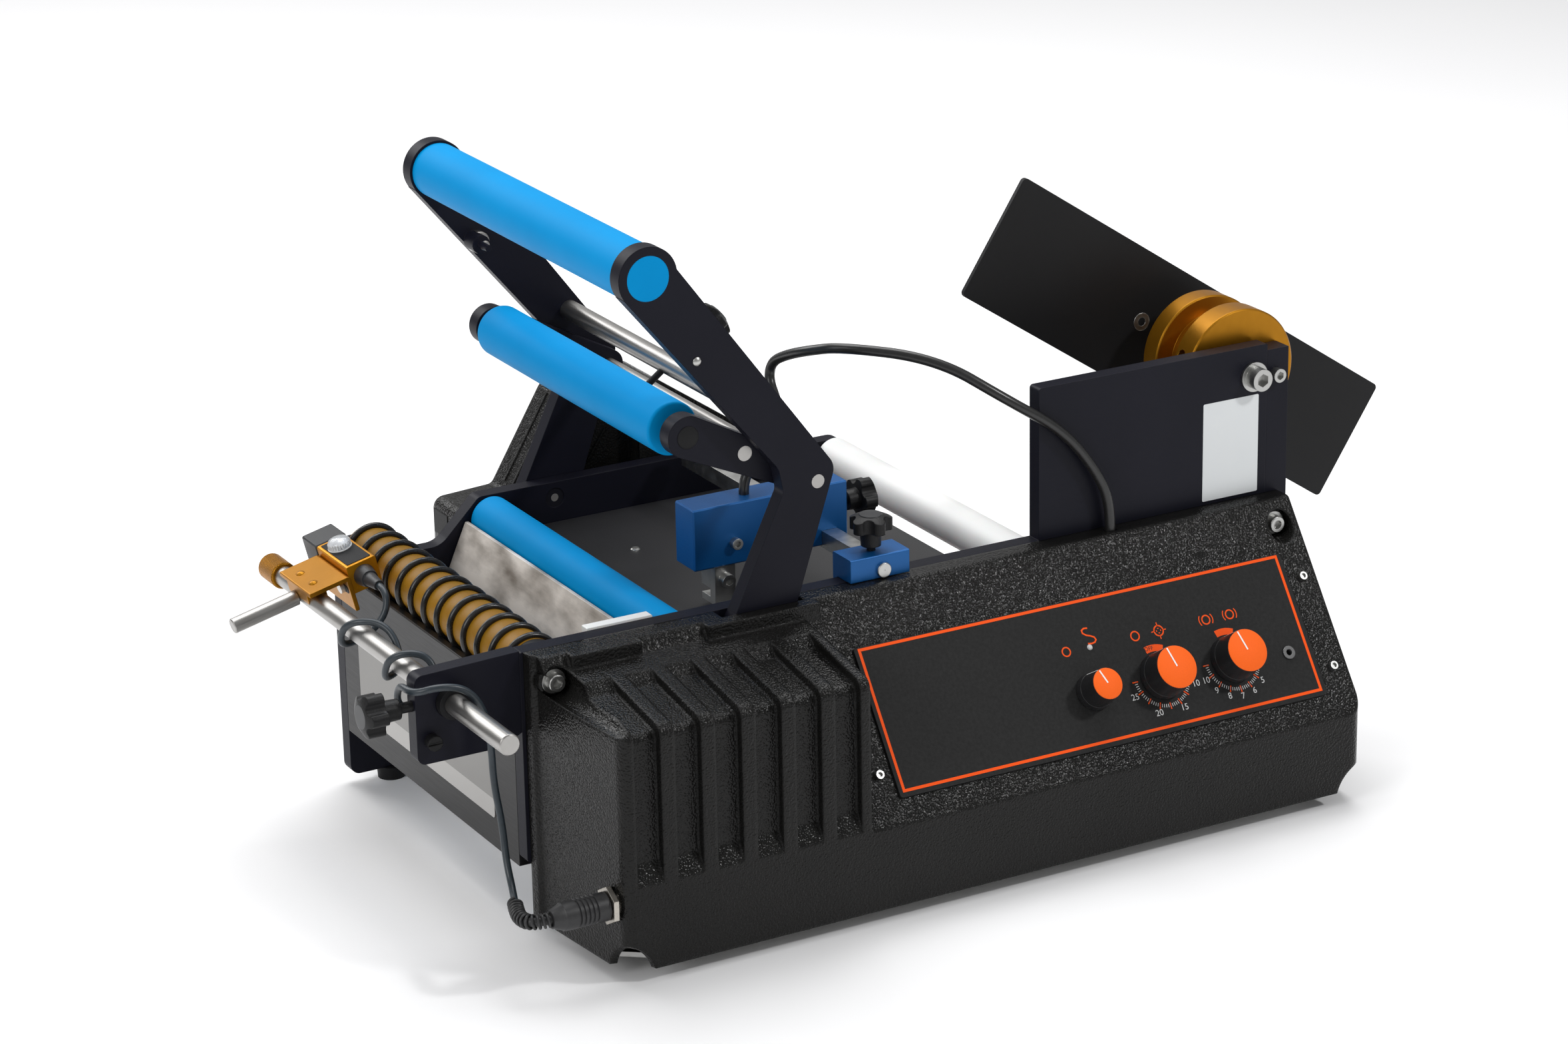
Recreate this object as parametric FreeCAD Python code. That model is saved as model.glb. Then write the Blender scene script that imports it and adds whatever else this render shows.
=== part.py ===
import FreeCAD, Part
import math
import os

# Bench labeller for round bottles. A web of labels runs from the reel at the back, under the
# sensor, over the peel edge to the ringed drive roller at the front. The operator lays a bottle
# on the drive roller and the cradle roller and pulls the handle down, and the pressure roller
# turns and holds the bottle while a label is wiped on.
#
# Millimetres. X runs across the machine, with the control panel at +X and zero midway between
# the side plates. Y runs back from the front edge of the side plates, with the operator at -Y.
# Z is up from the bench. save() moves everything so that the part's origin is at the middle of
# its base.

V = FreeCAD.Vector

# ------------------------------------------------------------------ clearances
GAP = 0.3          # between pieces that move past each other
RUN = 0.05         # radial running clearance of a shaft in its bore

# ------------------------------------------------------------------ frame
INNER_W = 230.0    # clear width between the side plates
PLATE_T = 10.0     # side plate thickness
PLATE_L = 487.0    # side plate length
PLATE_TOP = 166.0  # height of the plates' long top edge
PLATE_LOW = 8.0    # underside of the plates, on the feet
FOOT_R = 9.0
TOWER_Y = PLATE_L - 157.0    # front edge of the reel tower on the right plate
TOWER_TOP = 257.0
TOE_Y = 22.0       # toe cut away under the front of the right plate
TOE_Z = 43.0
DIP_Y = 54.0       # hand dip in the left plate's top edge
DIP_Z = 140.3
POST_W = 13.0      # post behind the tower, across and back
POST_T = 15.0
POST_TOP = 253.0
TIE_W = 12.0       # cross ties between the plates
TIE_H = 14.0
IN = INNER_W / 2.0
OUT = IN + PLATE_T
SKIN = OUT + GAP   # inner edge of the covers

# ------------------------------------------------------------------ rollers
SHAFT_R = 4.0
ROLLER_END = 1.0   # gap from a roller's end to the side plate
DRIVE_Y = 18.6
DRIVE_Z = 147.9
DRIVE_R = 15.0
RING_SECTION = 3.0
RING_PROUD = 1.5
RING_COUNT = 13
CRADLE_Y = 97.9
CRADLE_Z = 152.0
CRADLE_R = 13.4
PINCH_Y = 14.0
PINCH_Z = 121.6
PINCH_R = 9.9
GUIDE_Y = PLATE_L - 155.0
GUIDE_Z = 147.0
GUIDE_R = 12.5
BELT_W = 8.0
BELT_X = IN - 11.0           # left side of the drive belt
RING_FIRST_X = -IN + 7.0
RING_PITCH = (BELT_X - 4.0 - RING_FIRST_X) / (RING_COUNT - 1)
PINCH_LEFT = -IN + 15.0
PINCH_RIGHT = BELT_X - 6.0
BELT_T = 1.5
MOTOR_Y = 50.0
MOTOR_Z = 70.0
MOTOR_W = 56.0
MOTOR_L = 46.0
PULLEY_R = 10.0

# ------------------------------------------------------------------ web path and flap
BED_TOP = 141.0
BED_FRONT = 118.0
BED_BACK = GUIDE_Y - 24.0
SHEET_T = 2.0
PEEL_TOP_Y = 83.0
PEEL_TOP_Z = 152.5
PEEL_FOOT_Y = 66.0
STRIP_T = 2.0
FLAP_T = 3.0
FLAP_LOW = 37.0
FLAP_TOP = 138.0
FLAP_BAR = 5.0     # square bar along the flap's top, bored for the hinge pins
HINGE_PIN_R = 1.5

# ------------------------------------------------------------------ swinging arms
PIVOT_Y = 141.0
PIVOT_Z = 156.0
PIVOT_R = 6.0
PIVOT_HEAD_R = 9.0
PIVOT_HEAD_T = 3.0
ARM_T = 10.0
ARM_FOOT_R = 17.0
HEEL_Y = 165.2     # corner of the arm's rear edge, just above the stop
HEEL_Z = 163.7
HANDLE_Y = 79.1
HANDLE_Z = 364.8
HANDLE_R = 16.0
HANDLE_BOSS_R = 17.5
ELBOW_Y = 180.0
ELBOW_Z = 233.0
ELBOW_ROD_R = 4.0
CROSSBAR_Y = 160.0
CROSSBAR_Z = 267.4
CROSSBAR_R = 6.0
PRESS_Y = 106.0
PRESS_Z = 268.5
PRESS_R = 15.3
PRESS_SHAFT_R = 4.5
PRESS_HALF_L = IN - 8.0
LINK_T = 10.0
LINK_R = 12.0
TIE_ROD_Y = 140.8
TIE_ROD_Z = 253.1
TIE_ROD_R = 4.4
STUD_R = 2.0
SPACER_Y = 99.0    # spacer stud on the left arm
SPACER_Z = 320.0
SPACER_R = 5.5
SPACER_L = 12.0
DOWEL_Y = 107.5    # dowel through the right arm
DOWEL_Z = 314.3

# ------------------------------------------------------------------ right cover
COVER_X = OUT + 90.0          # outer face
COVER_WALL = 3.5
COVER_BACK = PLATE_L + 8.0
COVER_LOW = 8.5
SKIRT_TOP = 56.5
SLOPE = 0.708      # sideways travel of the inclined face for each millimetre of height
NOSE_SET = 12.0    # how far the nose sweeps back from the plate to the outer face
RIB_BACK = 165.2   # rear end of the ribbed block
RIB_TOP_IN = 158.0
RIB_TOP_OUT = 146.0
FLUTE_COUNT = 6
FLUTE_FIRST = 29.4
FLUTE_PITCH = 24.4
FLUTE_W = 16.0
FLUTE_DEPTH = 5.5
POCKET_R = 8.6
SCREW_SEAT = OUT + 6.0
PANEL_FRONT = RIB_BACK + 22.8
PANEL_BACK = COVER_BACK - 20.0
PANEL_T = 1.5
KNOB_S = 53.0      # knob centres, measured down the slope from the panel's datum

# ------------------------------------------------------------------ left cover
LEFT_X = -OUT - 45.0
LEFT_FRONT = 86.0
LEFT_BACK = 300.0
LEFT_WALL = 3.5

# ------------------------------------------------------------------ reel
REEL_Y = PLATE_L - 9.5
REEL_Z = 238.7
REEL_SHAFT_R = 7.5
REEL_DISC_R = 37.0
REEL_DISC_X = IN - 3.5        # right face of the outer disc
REEL_DISC_T = 16.0
REEL_GROOVE_W = 17.0
REEL_GROOVE_R = 26.0
GUIDE_PLATE_X = IN - 72.0
GUIDE_PLATE_T = 3.0
GUIDE_PLATE_L = 308.0
GUIDE_PLATE_W = 77.0
GUIDE_PLATE_R = 3.0
GUIDE_PLATE_TURN = -33.7

# ------------------------------------------------------------------ label sensor
BAR = 10.0
BAR_Y = 219.0
BAR_Z = 166.5
BAR_LEFT = -IN + 15.0
CLAMP_FRONT = 203.0
CLAMP_BACK = 241.0
CLAMP_TOP = 180.0
BLOCK_X = IN - 67.0
BLOCK_W = 22.0
BLOCK_FRONT = 136.5
BLOCK_BACK = 236.0
BLOCK_LOW = 167.5
BLOCK_TOP = 204.0

# ------------------------------------------------------------------ bottle sensor
ROD_Y = -41.0
ROD_Z = 147.0
ROD_R = 6.0
ROD_LEFT = -IN + 15.0
ROD_RIGHT = OUT + 71.6
BRACKET_FRONT = -62.0
BRACKET_LOW = 114.0
BRACKET_TOP = 167.0
COLLAR_R = 9.0
TILT = 13.5        # the sensor's bracket is clocked back on the rod
STAR_R = 12.5
STAR_H = 12.0
STAR_LOBES = 5
PLUG_X = COVER_X - 12.0
PLUG_Z = 46.0
PLUG_R = 8.0
THIN_CABLE_R = 2.0
THICK_CABLE_R = 3.0

# ------------------------------------------------------------------ worked out from the above
ARM_IN = OUT + 0.5                 # inner face of an arm
ARM_OUT = ARM_IN + ARM_T
ANGLE = math.atan(SLOPE)           # the inclined face from the vertical
DATUM_Z = 138.0                    # panel datum on the inclined face
DATUM_X = COVER_X - (DATUM_Z - SKIRT_TOP) * SLOPE
# The heel of the arm is a flat that runs from the heel corner to touch the round foot. The stop
# sits GAP behind that flat, a little below the corner.
HEEL_REACH = math.hypot(HEEL_Y - PIVOT_Y, HEEL_Z - PIVOT_Z)
HEEL_LEAN = (math.atan2(HEEL_Z - PIVOT_Z, HEEL_Y - PIVOT_Y) - math.acos(ARM_FOOT_R / HEEL_REACH))
HEEL_IN_Y = PIVOT_Y + ARM_FOOT_R * math.cos(HEEL_LEAN)
HEEL_IN_Z = PIVOT_Z + ARM_FOOT_R * math.sin(HEEL_LEAN)
STOP_OFF = 3.0 + GAP
STOP_Y = HEEL_Y + 0.18 * (HEEL_IN_Y - HEEL_Y) + STOP_OFF * math.cos(HEEL_LEAN)
STOP_Z = HEEL_Z + 0.18 * (HEEL_IN_Z - HEEL_Z) + STOP_OFF * math.sin(HEEL_LEAN)
TURN = math.radians(-GUIDE_PLATE_TURN)
PLATE_REAR = (REEL_Y + (GUIDE_PLATE_L / 2.0 - GUIDE_PLATE_R) * math.cos(TURN)
              + (GUIDE_PLATE_W / 2.0 - GUIDE_PLATE_R) * math.sin(TURN) + GUIDE_PLATE_R)
KNOB_FRONT = BRACKET_FRONT - 8.0 - 10.0 - STAR_H
ORIGIN = V((COVER_X + LEFT_X) / 2.0, (PLATE_REAR + KNOB_FRONT) / 2.0, 0.0)

os.makedirs("parts", exist_ok=True)


def save(node, *solids):
    """Write one node, with the part's origin at the middle of its base."""
    shape = solids[0] if len(solids) == 1 else Part.makeCompound(list(solids))
    shape = shape.copy()
    shape.translate(-ORIGIN)
    shape.exportStep("parts/" + node + ".step")


# ------------------------------------------------------------------ shapes
def box(x0, x1, y0, y1, z0, z1):
    return Part.makeBox(x1 - x0, y1 - y0, z1 - z0, V(x0, y0, z0))


def rod_x(r, x0, x1, y, z):
    return Part.makeCylinder(r, x1 - x0, V(x0, y, z), V(1, 0, 0))


def rod_y(r, y0, y1, x, z):
    return Part.makeCylinder(r, y1 - y0, V(x, y0, z), V(0, 1, 0))


def rod_z(r, z0, z1, x, y):
    return Part.makeCylinder(r, z1 - z0, V(x, y, z0), V(0, 0, 1))


def fuse(*shapes):
    joined = shapes[0].fuse(list(shapes[1:]))
    return joined.removeSplitter()


def cut(shape, *tools):
    for tool in tools:
        shape = shape.cut(tool)
    return shape


def outline(points, place):
    """Closed wire through (a, b) or (a, b, corner radius) points; place makes each one a vector."""
    corners = [(V(p[0], p[1], 0), p[2] if len(p) > 2 else 0.0) for p in points]
    edges = []
    stops = []
    for i, (here, radius) in enumerate(corners):
        before = (corners[i - 1][0] - here).normalize()
        after = (corners[(i + 1) % len(corners)][0] - here).normalize()
        if radius == 0.0:
            stops.append((here, None, here))
            continue
        half = before.getAngle(after) / 2.0
        reach = radius / math.tan(half)
        middle = (before + after).normalize()
        nearest = here + middle * (radius / math.sin(half) - radius)
        stops.append((here + before * reach, nearest, here + after * reach))
    for i, (start, middle, end) in enumerate(stops):
        following = stops[(i + 1) % len(stops)][0]
        if middle is not None:
            edges.append(Part.Arc(place(start), place(middle), place(end)).toShape())
        if (following - end).Length > 1e-6:
            edges.append(Part.LineSegment(place(end), place(following)).toShape())
    return Part.Wire(edges)


def slab_x(points, x0, x1):
    """Outline of (y, z) points, extruded along X."""
    wire = outline(points, lambda p: V(x0, p.x, p.y))
    return Part.Face(wire).extrude(V(x1 - x0, 0, 0))


def slab_y(points, y0, y1):
    """Outline of (x, z) points, extruded along Y."""
    wire = outline(points, lambda p: V(p.x, y0, p.y))
    return Part.Face(wire).extrude(V(0, y1 - y0, 0))


def slab_z(points, z0, z1):
    """Outline of (x, y) points, extruded along Z."""
    wire = outline(points, lambda p: V(p.x, p.y, z0))
    return Part.Face(wire).extrude(V(0, 0, z1 - z0))


def aimed(shape, place, direction):
    """Move a shape made along +Z at the origin so that it points along direction from place."""
    shape = shape.copy()
    shape.Placement = FreeCAD.Placement(place, FreeCAD.Rotation(V(0, 0, 1), direction))
    return shape


def ring(r_out, r_in, x0, x1, y, z):
    return rod_x(r_out, x0, x1, y, z).cut(rod_x(r_in, x0, x1, y, z))


def star_knob(place, direction, stud_r, stud_l, neck_l, head_h=STAR_H, inside=0.0):
    """Lobed clamping knob: its stud starts at place, and reaches back by inside into its seat."""
    lobe_r = STAR_R * 0.32
    head = Part.makeCylinder(STAR_R * 0.8, head_h, V(0, 0, 0))
    for k in range(STAR_LOBES):
        turn = 2.0 * math.pi * k / STAR_LOBES
        reach = STAR_R - lobe_r
        lobe = Part.makeCylinder(lobe_r, head_h, V(reach * math.cos(turn), reach * math.sin(turn), 0))
        head = head.fuse(lobe)
    for k in range(STAR_LOBES):
        turn = 2.0 * math.pi * (k + 0.5) / STAR_LOBES
        reach = STAR_R * 0.98
        hollow = Part.makeCylinder(STAR_R * 0.3, head_h, V(reach * math.cos(turn),
                                                           reach * math.sin(turn), 0))
        head = head.cut(hollow)
    crown = Part.makeSphere(STAR_R * 1.9, V(0, 0, head_h - STAR_R * 1.9 + 1.0))
    head = head.common(crown)
    head.translate(V(0, 0, stud_l + neck_l))
    neck = Part.makeCone(STAR_R * 0.46, STAR_R * 0.5, neck_l, V(0, 0, stud_l))
    stud = Part.makeCylinder(stud_r, stud_l + inside, V(0, 0, -inside))
    return aimed(fuse(head, neck, stud), place, direction)


def cap_screw(place, direction, thread_r, grip, washer=0.0):
    """Socket head screw: the underside of its washer is at place, the thread runs back by grip."""
    head_r = thread_r * 1.65
    head_h = thread_r * 2.0
    head = Part.makeCylinder(head_r, head_h, V(0, 0, washer))
    socket = Part.makePolygon([V(thread_r * math.cos(math.radians(60 * k)),
                                 thread_r * math.sin(math.radians(60 * k)), washer + head_h * 0.5)
                               for k in range(7)])
    head = head.cut(Part.Face(Part.Wire(socket)).extrude(V(0, 0, head_h)))
    screw = head
    if grip > 0.0:
        screw = screw.fuse(Part.makeCylinder(thread_r, grip + washer, V(0, 0, -grip)))
    if washer > 0.0:
        screw = screw.fuse(Part.makeCylinder(head_r * 1.35, washer, V(0, 0, 0)))
    return aimed(screw.removeSplitter(), place, direction)


def cord(name, points, r):
    """Round cord along straight runs joined by tangent arcs, each as large as its runs allow."""
    knots = [V(*p) for p in points]
    edges = []
    length = 0.0
    radii = []
    last = knots[0]
    for i in range(1, len(knots) - 1):
        back = knots[i - 1] - knots[i]
        ahead = knots[i + 1] - knots[i]
        run = min(back.Length, ahead.Length)
        turn = math.pi - back.getAngle(ahead)
        radius = 0.45 * run / math.tan(turn / 2.0)
        back.normalize()
        ahead.normalize()
        start = knots[i] + back * (0.45 * run)
        end = knots[i] + ahead * (0.45 * run)
        inward = (back + ahead).normalize()
        middle = knots[i] + inward * (radius / math.cos(turn / 2.0) - radius)
        edges.append(Part.LineSegment(last, start).toShape())
        edges.append(Part.Arc(start, middle, end).toShape())
        last = end
        radii.append(round(radius, 1))
    edges.append(Part.LineSegment(last, knots[-1]).toShape())
    path = Part.Wire(edges)
    length = path.Length
    first = (knots[1] - knots[0]).normalize()
    section = Part.Wire(Part.makeCircle(r, knots[0], first))
    tube = path.makePipeShell([section], True, True, 2)
    ratio = tube.Volume / (math.pi * r * r * length)
    print(name, "length", round(length, 1), "volume ratio", round(ratio, 4), "radii", radii)
    return tube


def on_panel(shape):
    """From the panel's own axes (x back, y up the slope, z outwards) to the machine's."""
    s = math.sin(ANGLE)
    c = math.cos(ANGLE)
    place = FreeCAD.Matrix(0, -s, c, DATUM_X,
                           1, 0, 0, 0,
                           0, c, s, DATUM_Z,
                           0, 0, 0, 1)
    shape = shape.copy()
    shape.Placement = FreeCAD.Placement(place).multiply(shape.Placement)
    return shape


# ------------------------------------------------------------------ side plates
def shaft_seats(side):
    """Blind seats for the roller shafts in one side plate."""
    seats = []
    for y, z in ((DRIVE_Y, DRIVE_Z), (CRADLE_Y, CRADLE_Z), (GUIDE_Y, GUIDE_Z)):
        seats.append(plate_seat(side, SHAFT_R + RUN, y, z))
    seats.append(plate_seat(side, HINGE_PIN_R + RUN, hinge_y, hinge_z))
    return seats


def plate_seat(side, r, y, z):
    depth = PLATE_T - 2.0
    x0 = IN if side > 0 else -IN - depth
    return rod_x(r, x0, x0 + depth, y, z)


hinge_y = FLAP_BAR / 2.0
hinge_z = FLAP_TOP - 1.4


def right_plate():
    plate = slab_x([(0, TOE_Z, 2), (0, PLATE_TOP, 2), (TOWER_Y, PLATE_TOP), (TOWER_Y, TOWER_TOP, 2),
                    (PLATE_L, TOWER_TOP, 1), (PLATE_L, PLATE_LOW, 1), (TOE_Y, PLATE_LOW, 2),
                    (TOE_Y, TOE_Z)], IN, OUT)
    plate = cut(plate, *shaft_seats(1))
    plate = cut(plate, rod_x(PIVOT_R, IN, OUT, PIVOT_Y, PIVOT_Z))
    plate = cut(plate, rod_x(SHAFT_R + 1.0, IN, OUT, MOTOR_Y, MOTOR_Z))
    plate = cut(plate, rod_x(REEL_SCREW_R + RUN, IN, OUT, REEL_Y, REEL_Z))
    for y, z in COVER_SCREWS:
        plate = cut(plate, rod_x(COVER_SCREW_R, OUT - 6.0, OUT, y, z))
    return cut(plate, rod_x(STOP_R, OUT - 6.0, OUT, STOP_Y, STOP_Z))


REEL_SCREW_R = 4.0
COVER_SCREW_R = 2.5
COVER_SCREWS = ((13.0, 152.0), (COVER_BACK - 12.0, 152.0))
STOP_R = 3.0


GUIDE_LUG = 11.0    # the left plate ends in a round lug about the guide roller's axis


def left_plate():
    lobe = 154.5
    plate = slab_x([(0, PLATE_LOW, 6), (0, lobe, 12), (DIP_Y - 20, lobe, 3), (DIP_Y - 12, DIP_Z, 12),
                    (DIP_Y + 11, DIP_Z, 14), (DIP_Y + 37, PLATE_TOP, 6),
                    (GUIDE_Y - 38.0, PLATE_TOP, 14), (GUIDE_Y - 18.0, GUIDE_Z + GUIDE_LUG, 12),
                    (GUIDE_Y + GUIDE_LUG, GUIDE_Z + GUIDE_LUG, GUIDE_LUG - 1.0),
                    (GUIDE_Y + GUIDE_LUG, PLATE_LOW, 2)], -OUT, -IN)
    plate = cut(plate, *shaft_seats(-1))
    plate = cut(plate, rod_x(PIVOT_R, -OUT, -IN, PIVOT_Y, PIVOT_Z))
    return cut(plate, rod_x(STOP_R, -OUT, -OUT + 6.0, STOP_Y, STOP_Z))


save("right_side_plate", right_plate())
save("left_side_plate", left_plate())
save("rear_post", box(OUT - POST_W, OUT, PLATE_L, PLATE_L + POST_T, PLATE_LOW, POST_TOP))


# ------------------------------------------------------------------ cross ties, feet
def cross_ties():
    """Bars that hold the side plates apart: low front, peel edge, under the bed, low rear."""
    low = PLATE_LOW + 14.0
    places = ((MOTOR_Y + 20.0, low), (PEEL_FOOT_Y, 98.0), (BED_FRONT + 35.0, BED_TOP - SHEET_T - TIE_H),
              (BED_BACK - 30.0, BED_TOP - SHEET_T - TIE_H), (GUIDE_Y - 30.0, low))
    return [box(-IN, IN, y, y + TIE_W, z, z + TIE_H) for y, z in places]


FOOT_PLACES = ((-OUT + 5.0, 28.0), (-OUT + 5.0, GUIDE_Y - 12.0),
               (COVER_X - 65.0, 30.0), (COVER_X - 65.0, PLATE_L - 30.0))


def rubber_feet():
    feet = []
    for x, y in FOOT_PLACES:
        feet.append(Part.makeCone(FOOT_R - 0.8, FOOT_R, PLATE_LOW, V(x, y, 0)))
    return feet


save("cross_ties", *cross_ties())
save("rubber_feet", *rubber_feet())


# ------------------------------------------------------------------ right cover
def cover_form(inset):
    """The cover's outer form, drawn in by inset all round: a wedge with a ribbed block in front."""
    top = PLATE_TOP - inset
    low = COVER_LOW
    out = COVER_X - inset
    knee = SKIRT_TOP - inset * math.tan(ANGLE / 2.0)
    edge = out - (top - knee) * SLOPE
    wedge = slab_y([(SKIN, low), (out, low), (out, knee, 3), (edge, top, 4), (SKIN, top)],
                   -10, COVER_BACK + 10)
    rib_top = [(SKIN, low), (out, low), (out, RIB_TOP_OUT - inset, 7),
               (SKIN + 20.0, RIB_TOP_IN - inset, 3), (SKIN, RIB_TOP_IN - inset)]
    block = slab_y(rib_top, -10, RIB_BACK - inset)
    ledges = [box(SKIN, SKIN + LEDGE_W - inset, y0 + inset, y1 - inset, low, top)
              for y0, y1 in ((22.0, 64.0), (PIVOT_Y - 36.0, PIVOT_Y + 34.0))]
    side = cover_nose(COVER_X)
    plan = slab_z([(SKIN, 2.0 + inset), (SKIN + 6.0, 2.8 + inset), (SKIN + 9.0, 5.5 + inset),
                   (out, side + inset, 7), (out, COVER_BACK - inset, 7),
                   (SKIN, COVER_BACK - inset)], 0, PLATE_TOP + 10)
    return fuse(wedge, block, *ledges).common(plan)


LEDGE_W = 19.5


def cover_nose(x):
    """Front of the cover at a distance x from the middle."""
    return 2.0 + NOSE_SET * (x - OUT) / (COVER_X - OUT)


def flute(k, grow):
    """Cutter of one flute: over the top, round the shoulder and down to the skirt."""
    middle = FLUTE_FIRST + FLUTE_PITCH * k
    depth = FLUTE_DEPTH + grow
    fall = (RIB_TOP_IN - RIB_TOP_OUT) / (COVER_X - SKIN - 20.0)
    x_start = SKIN + 33.0 - grow
    x_floor = x_start + 7.0
    x_deep = COVER_X - depth

    def top(x):
        return RIB_TOP_IN - fall * (x - SKIN - 20.0)

    path = [(x_start, top(x_start)), (x_floor, top(x_floor) - depth),
            (x_deep, top(x_deep) - depth, 5), (x_deep, SKIRT_TOP + 12.0 - grow),
            (COVER_X, SKIRT_TOP + 1.0 - grow), (COVER_X + 30.0, SKIRT_TOP + 1.0 - grow),
            (COVER_X + 30.0, PLATE_TOP + 20.0), (x_start, PLATE_TOP + 20.0)]
    half = FLUTE_W / 2.0 + grow
    return slab_y(path, middle - half, middle + half)


def right_cover():
    outer = cover_form(0.0)
    cavity = cover_form(COVER_WALL)
    cavity = cavity.cut(box(SKIN - 1, COVER_X, -10, COVER_BACK, -1, COVER_LOW))
    for k in range(FLUTE_COUNT):
        outer = outer.cut(flute(k, 0.0))
        cavity = cavity.cut(flute(k, COVER_WALL))
    for y, z in COVER_SCREWS:
        pocket = rod_x(POCKET_R, SCREW_SEAT, COVER_X, y, z)
        boss = rod_x(POCKET_R + COVER_WALL, SKIN, COVER_X, y, z)
        outer = outer.cut(pocket)
        cavity = cavity.cut(boss)
    slot = box(SKIN - 1, ARM_OUT + 0.5, PIVOT_Y - 23.0, PIVOT_Y + 29.0, PLATE_TOP - 30, PLATE_TOP + 1)
    cover = outer.cut(cavity)
    cover = cover.cut(slot)
    for y, z in COVER_SCREWS:
        cover = cover.cut(rod_x(COVER_SCREW_R + RUN, SKIN - 1, SCREW_SEAT + 1, y, z))
    scoop = 24.0
    for y in (8.0, COVER_BACK - 1.0 + 7.0):
        cover = cover.cut(Part.makeSphere(scoop, V(COVER_X + 5.0, y, COVER_LOW - 6.0)))
    cover = cover.cut(rod_z(THICK_CABLE_R + 0.6, PLATE_TOP - 12, PLATE_TOP + 1, *CABLE_HOLE))
    cover = cover.cut(rod_y(SOCKET_R, 0, 30, PLUG_X, PLUG_Z))
    for y, s in PANEL_HOLES:
        cover = cover.cut(on_panel(rod_z(BUSH_R + RUN, -12, 12, y, -s)))
    inlet_hole = box(INLET_X, INLET_X + INLET_W, COVER_BACK - 10, COVER_BACK + 1, INLET_Z,
                     INLET_Z + INLET_H)
    return cover.cut(inlet_hole)


CABLE_HOLE = (OUT + 6.0, TOWER_Y + 44.5)
SOCKET_R = 5.5
BUSH_R = 4.0
KNOB_YS = (PANEL_BACK - 149.5, PANEL_BACK - 103.4, PANEL_BACK - 55.0)
JACK_PLACE = (PANEL_BACK - 16.4, 56.7)
PANEL_HOLES = tuple((y, KNOB_S) for y in KNOB_YS) + (JACK_PLACE,)
INLET_X = OUT + 20.0
INLET_Z = 24.0
INLET_W = 28.0
INLET_H = 20.0

save("right_cover", right_cover())

BASE_T = 3.0


def cover_base_plate():
    """Folded plate that closes the cover's underside and carries the right feet."""
    side = COVER_X - COVER_WALL - GAP
    plate = slab_z([(OUT, 14.0, 1), (side - 22.0, 20.0, 1), (side, 48.0, 1), (side, COVER_BACK - 38.0, 1),
                    (side - 22.0, COVER_BACK - 12.0, 1), (OUT, COVER_BACK - 12.0, 1)],
                   PLATE_LOW, PLATE_LOW + BASE_T)
    flange = box(OUT, OUT + BASE_T, 30.0, COVER_BACK - 20.0, PLATE_LOW + BASE_T, PLATE_LOW + 22.0)
    return fuse(plate, flange)


save("cover_base_plate", cover_base_plate())


# ------------------------------------------------------------------ left cover
def left_cover():
    """Lower cover over the left arm's pivot, with a hump that the arm rises out of."""
    def form(inset):
        front = LEFT_FRONT + inset
        back = LEFT_BACK - inset
        return slab_x([(front, PLATE_LOW), (front, 150.0 - inset, 7), (125.0 + inset, 152.0 - inset, 5),
                       (162.0 + inset * 0.5, 213.0 - inset, 12), (216.0 - inset * 0.5, 215.0 - inset, 12),
                       (287.0 - inset, 166.0 - inset, 8), (back, 160.0 - inset, 5), (back, PLATE_LOW)],
                      LEFT_X + inset, -SKIN)
    shell = form(0.0).cut(form(LEFT_WALL))
    slot = box(-ARM_OUT - 1.0, -SKIN + 1, PIVOT_Y - 27.0, PIVOT_Y + 62.0, PIVOT_Z - 12.0, 260.0)
    return shell.cut(slot)


save("left_cover", left_cover())


# ------------------------------------------------------------------ screws that hold the frame
def frame_screws():
    screws = []
    for y, z in COVER_SCREWS:
        screws.append(cap_screw(V(SCREW_SEAT, y, z), V(1, 0, 0), COVER_SCREW_R, SCREW_SEAT - OUT + 5.0, 1.0))
    screws.append(cap_screw(V(OUT, REEL_Y, REEL_Z), V(1, 0, 0), REEL_SCREW_R, PLATE_T + 12.0, 1.6))
    screws.append(cap_screw(V(OUT, PLATE_L + 6.0, REEL_Z - 1.0), V(1, 0, 0), 2.5, 0.0))
    screws.append(cap_screw(V(OUT, BRACKET_FRONT + 8.3, 127.2), V(1, 0, 0), 2.5, 0.0))
    for y, s in PANEL_SCREWS:
        screws.append(on_panel(cap_screw(V(y, -s, 0), V(0, 0, 1), 1.5, 0.0)))
    for x in (-IN + 68.0, IN - 63.0):
        screws.append(Part.makeCone(3.0, 2.2, 0.8, V(x, BED_FRONT + 41.0, BED_TOP)))
    return screws


PANEL_SCREWS = ((PANEL_FRONT - 8.5, 70.3), (PANEL_BACK + 10.0, 14.8), (PANEL_BACK + 10.0, 70.2))
save("frame_screws", *frame_screws())


# ------------------------------------------------------------------ control panel, knobs, electronics
def control_panel():
    panel = slab_z([(PANEL_FRONT, 1.5, 2), (PANEL_BACK, 1.5, 2), (PANEL_BACK, -85.5, 2),
                    (PANEL_FRONT, -85.5, 2)], 0.0, PANEL_T)
    for y, s in PANEL_HOLES:
        panel = panel.cut(rod_z(BUSH_R + RUN, -1, 5, y, -s))
    return on_panel(panel)


def knob(y, base_r, top_r, height):
    """Skirted knob with its spindle, pointing out of the panel."""
    foot = PANEL_T + 1.2
    skirt = Part.makeCone(base_r, base_r - 0.4, 4.0, V(y, -KNOB_S, foot))
    body = Part.makeCone(base_r - 0.6, top_r, height - 4.0, V(y, -KNOB_S, foot + 4.0))
    spindle = rod_z(SPINDLE_R, -8.0, foot, y, -KNOB_S)
    return on_panel(fuse(skirt, body, spindle))


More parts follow.
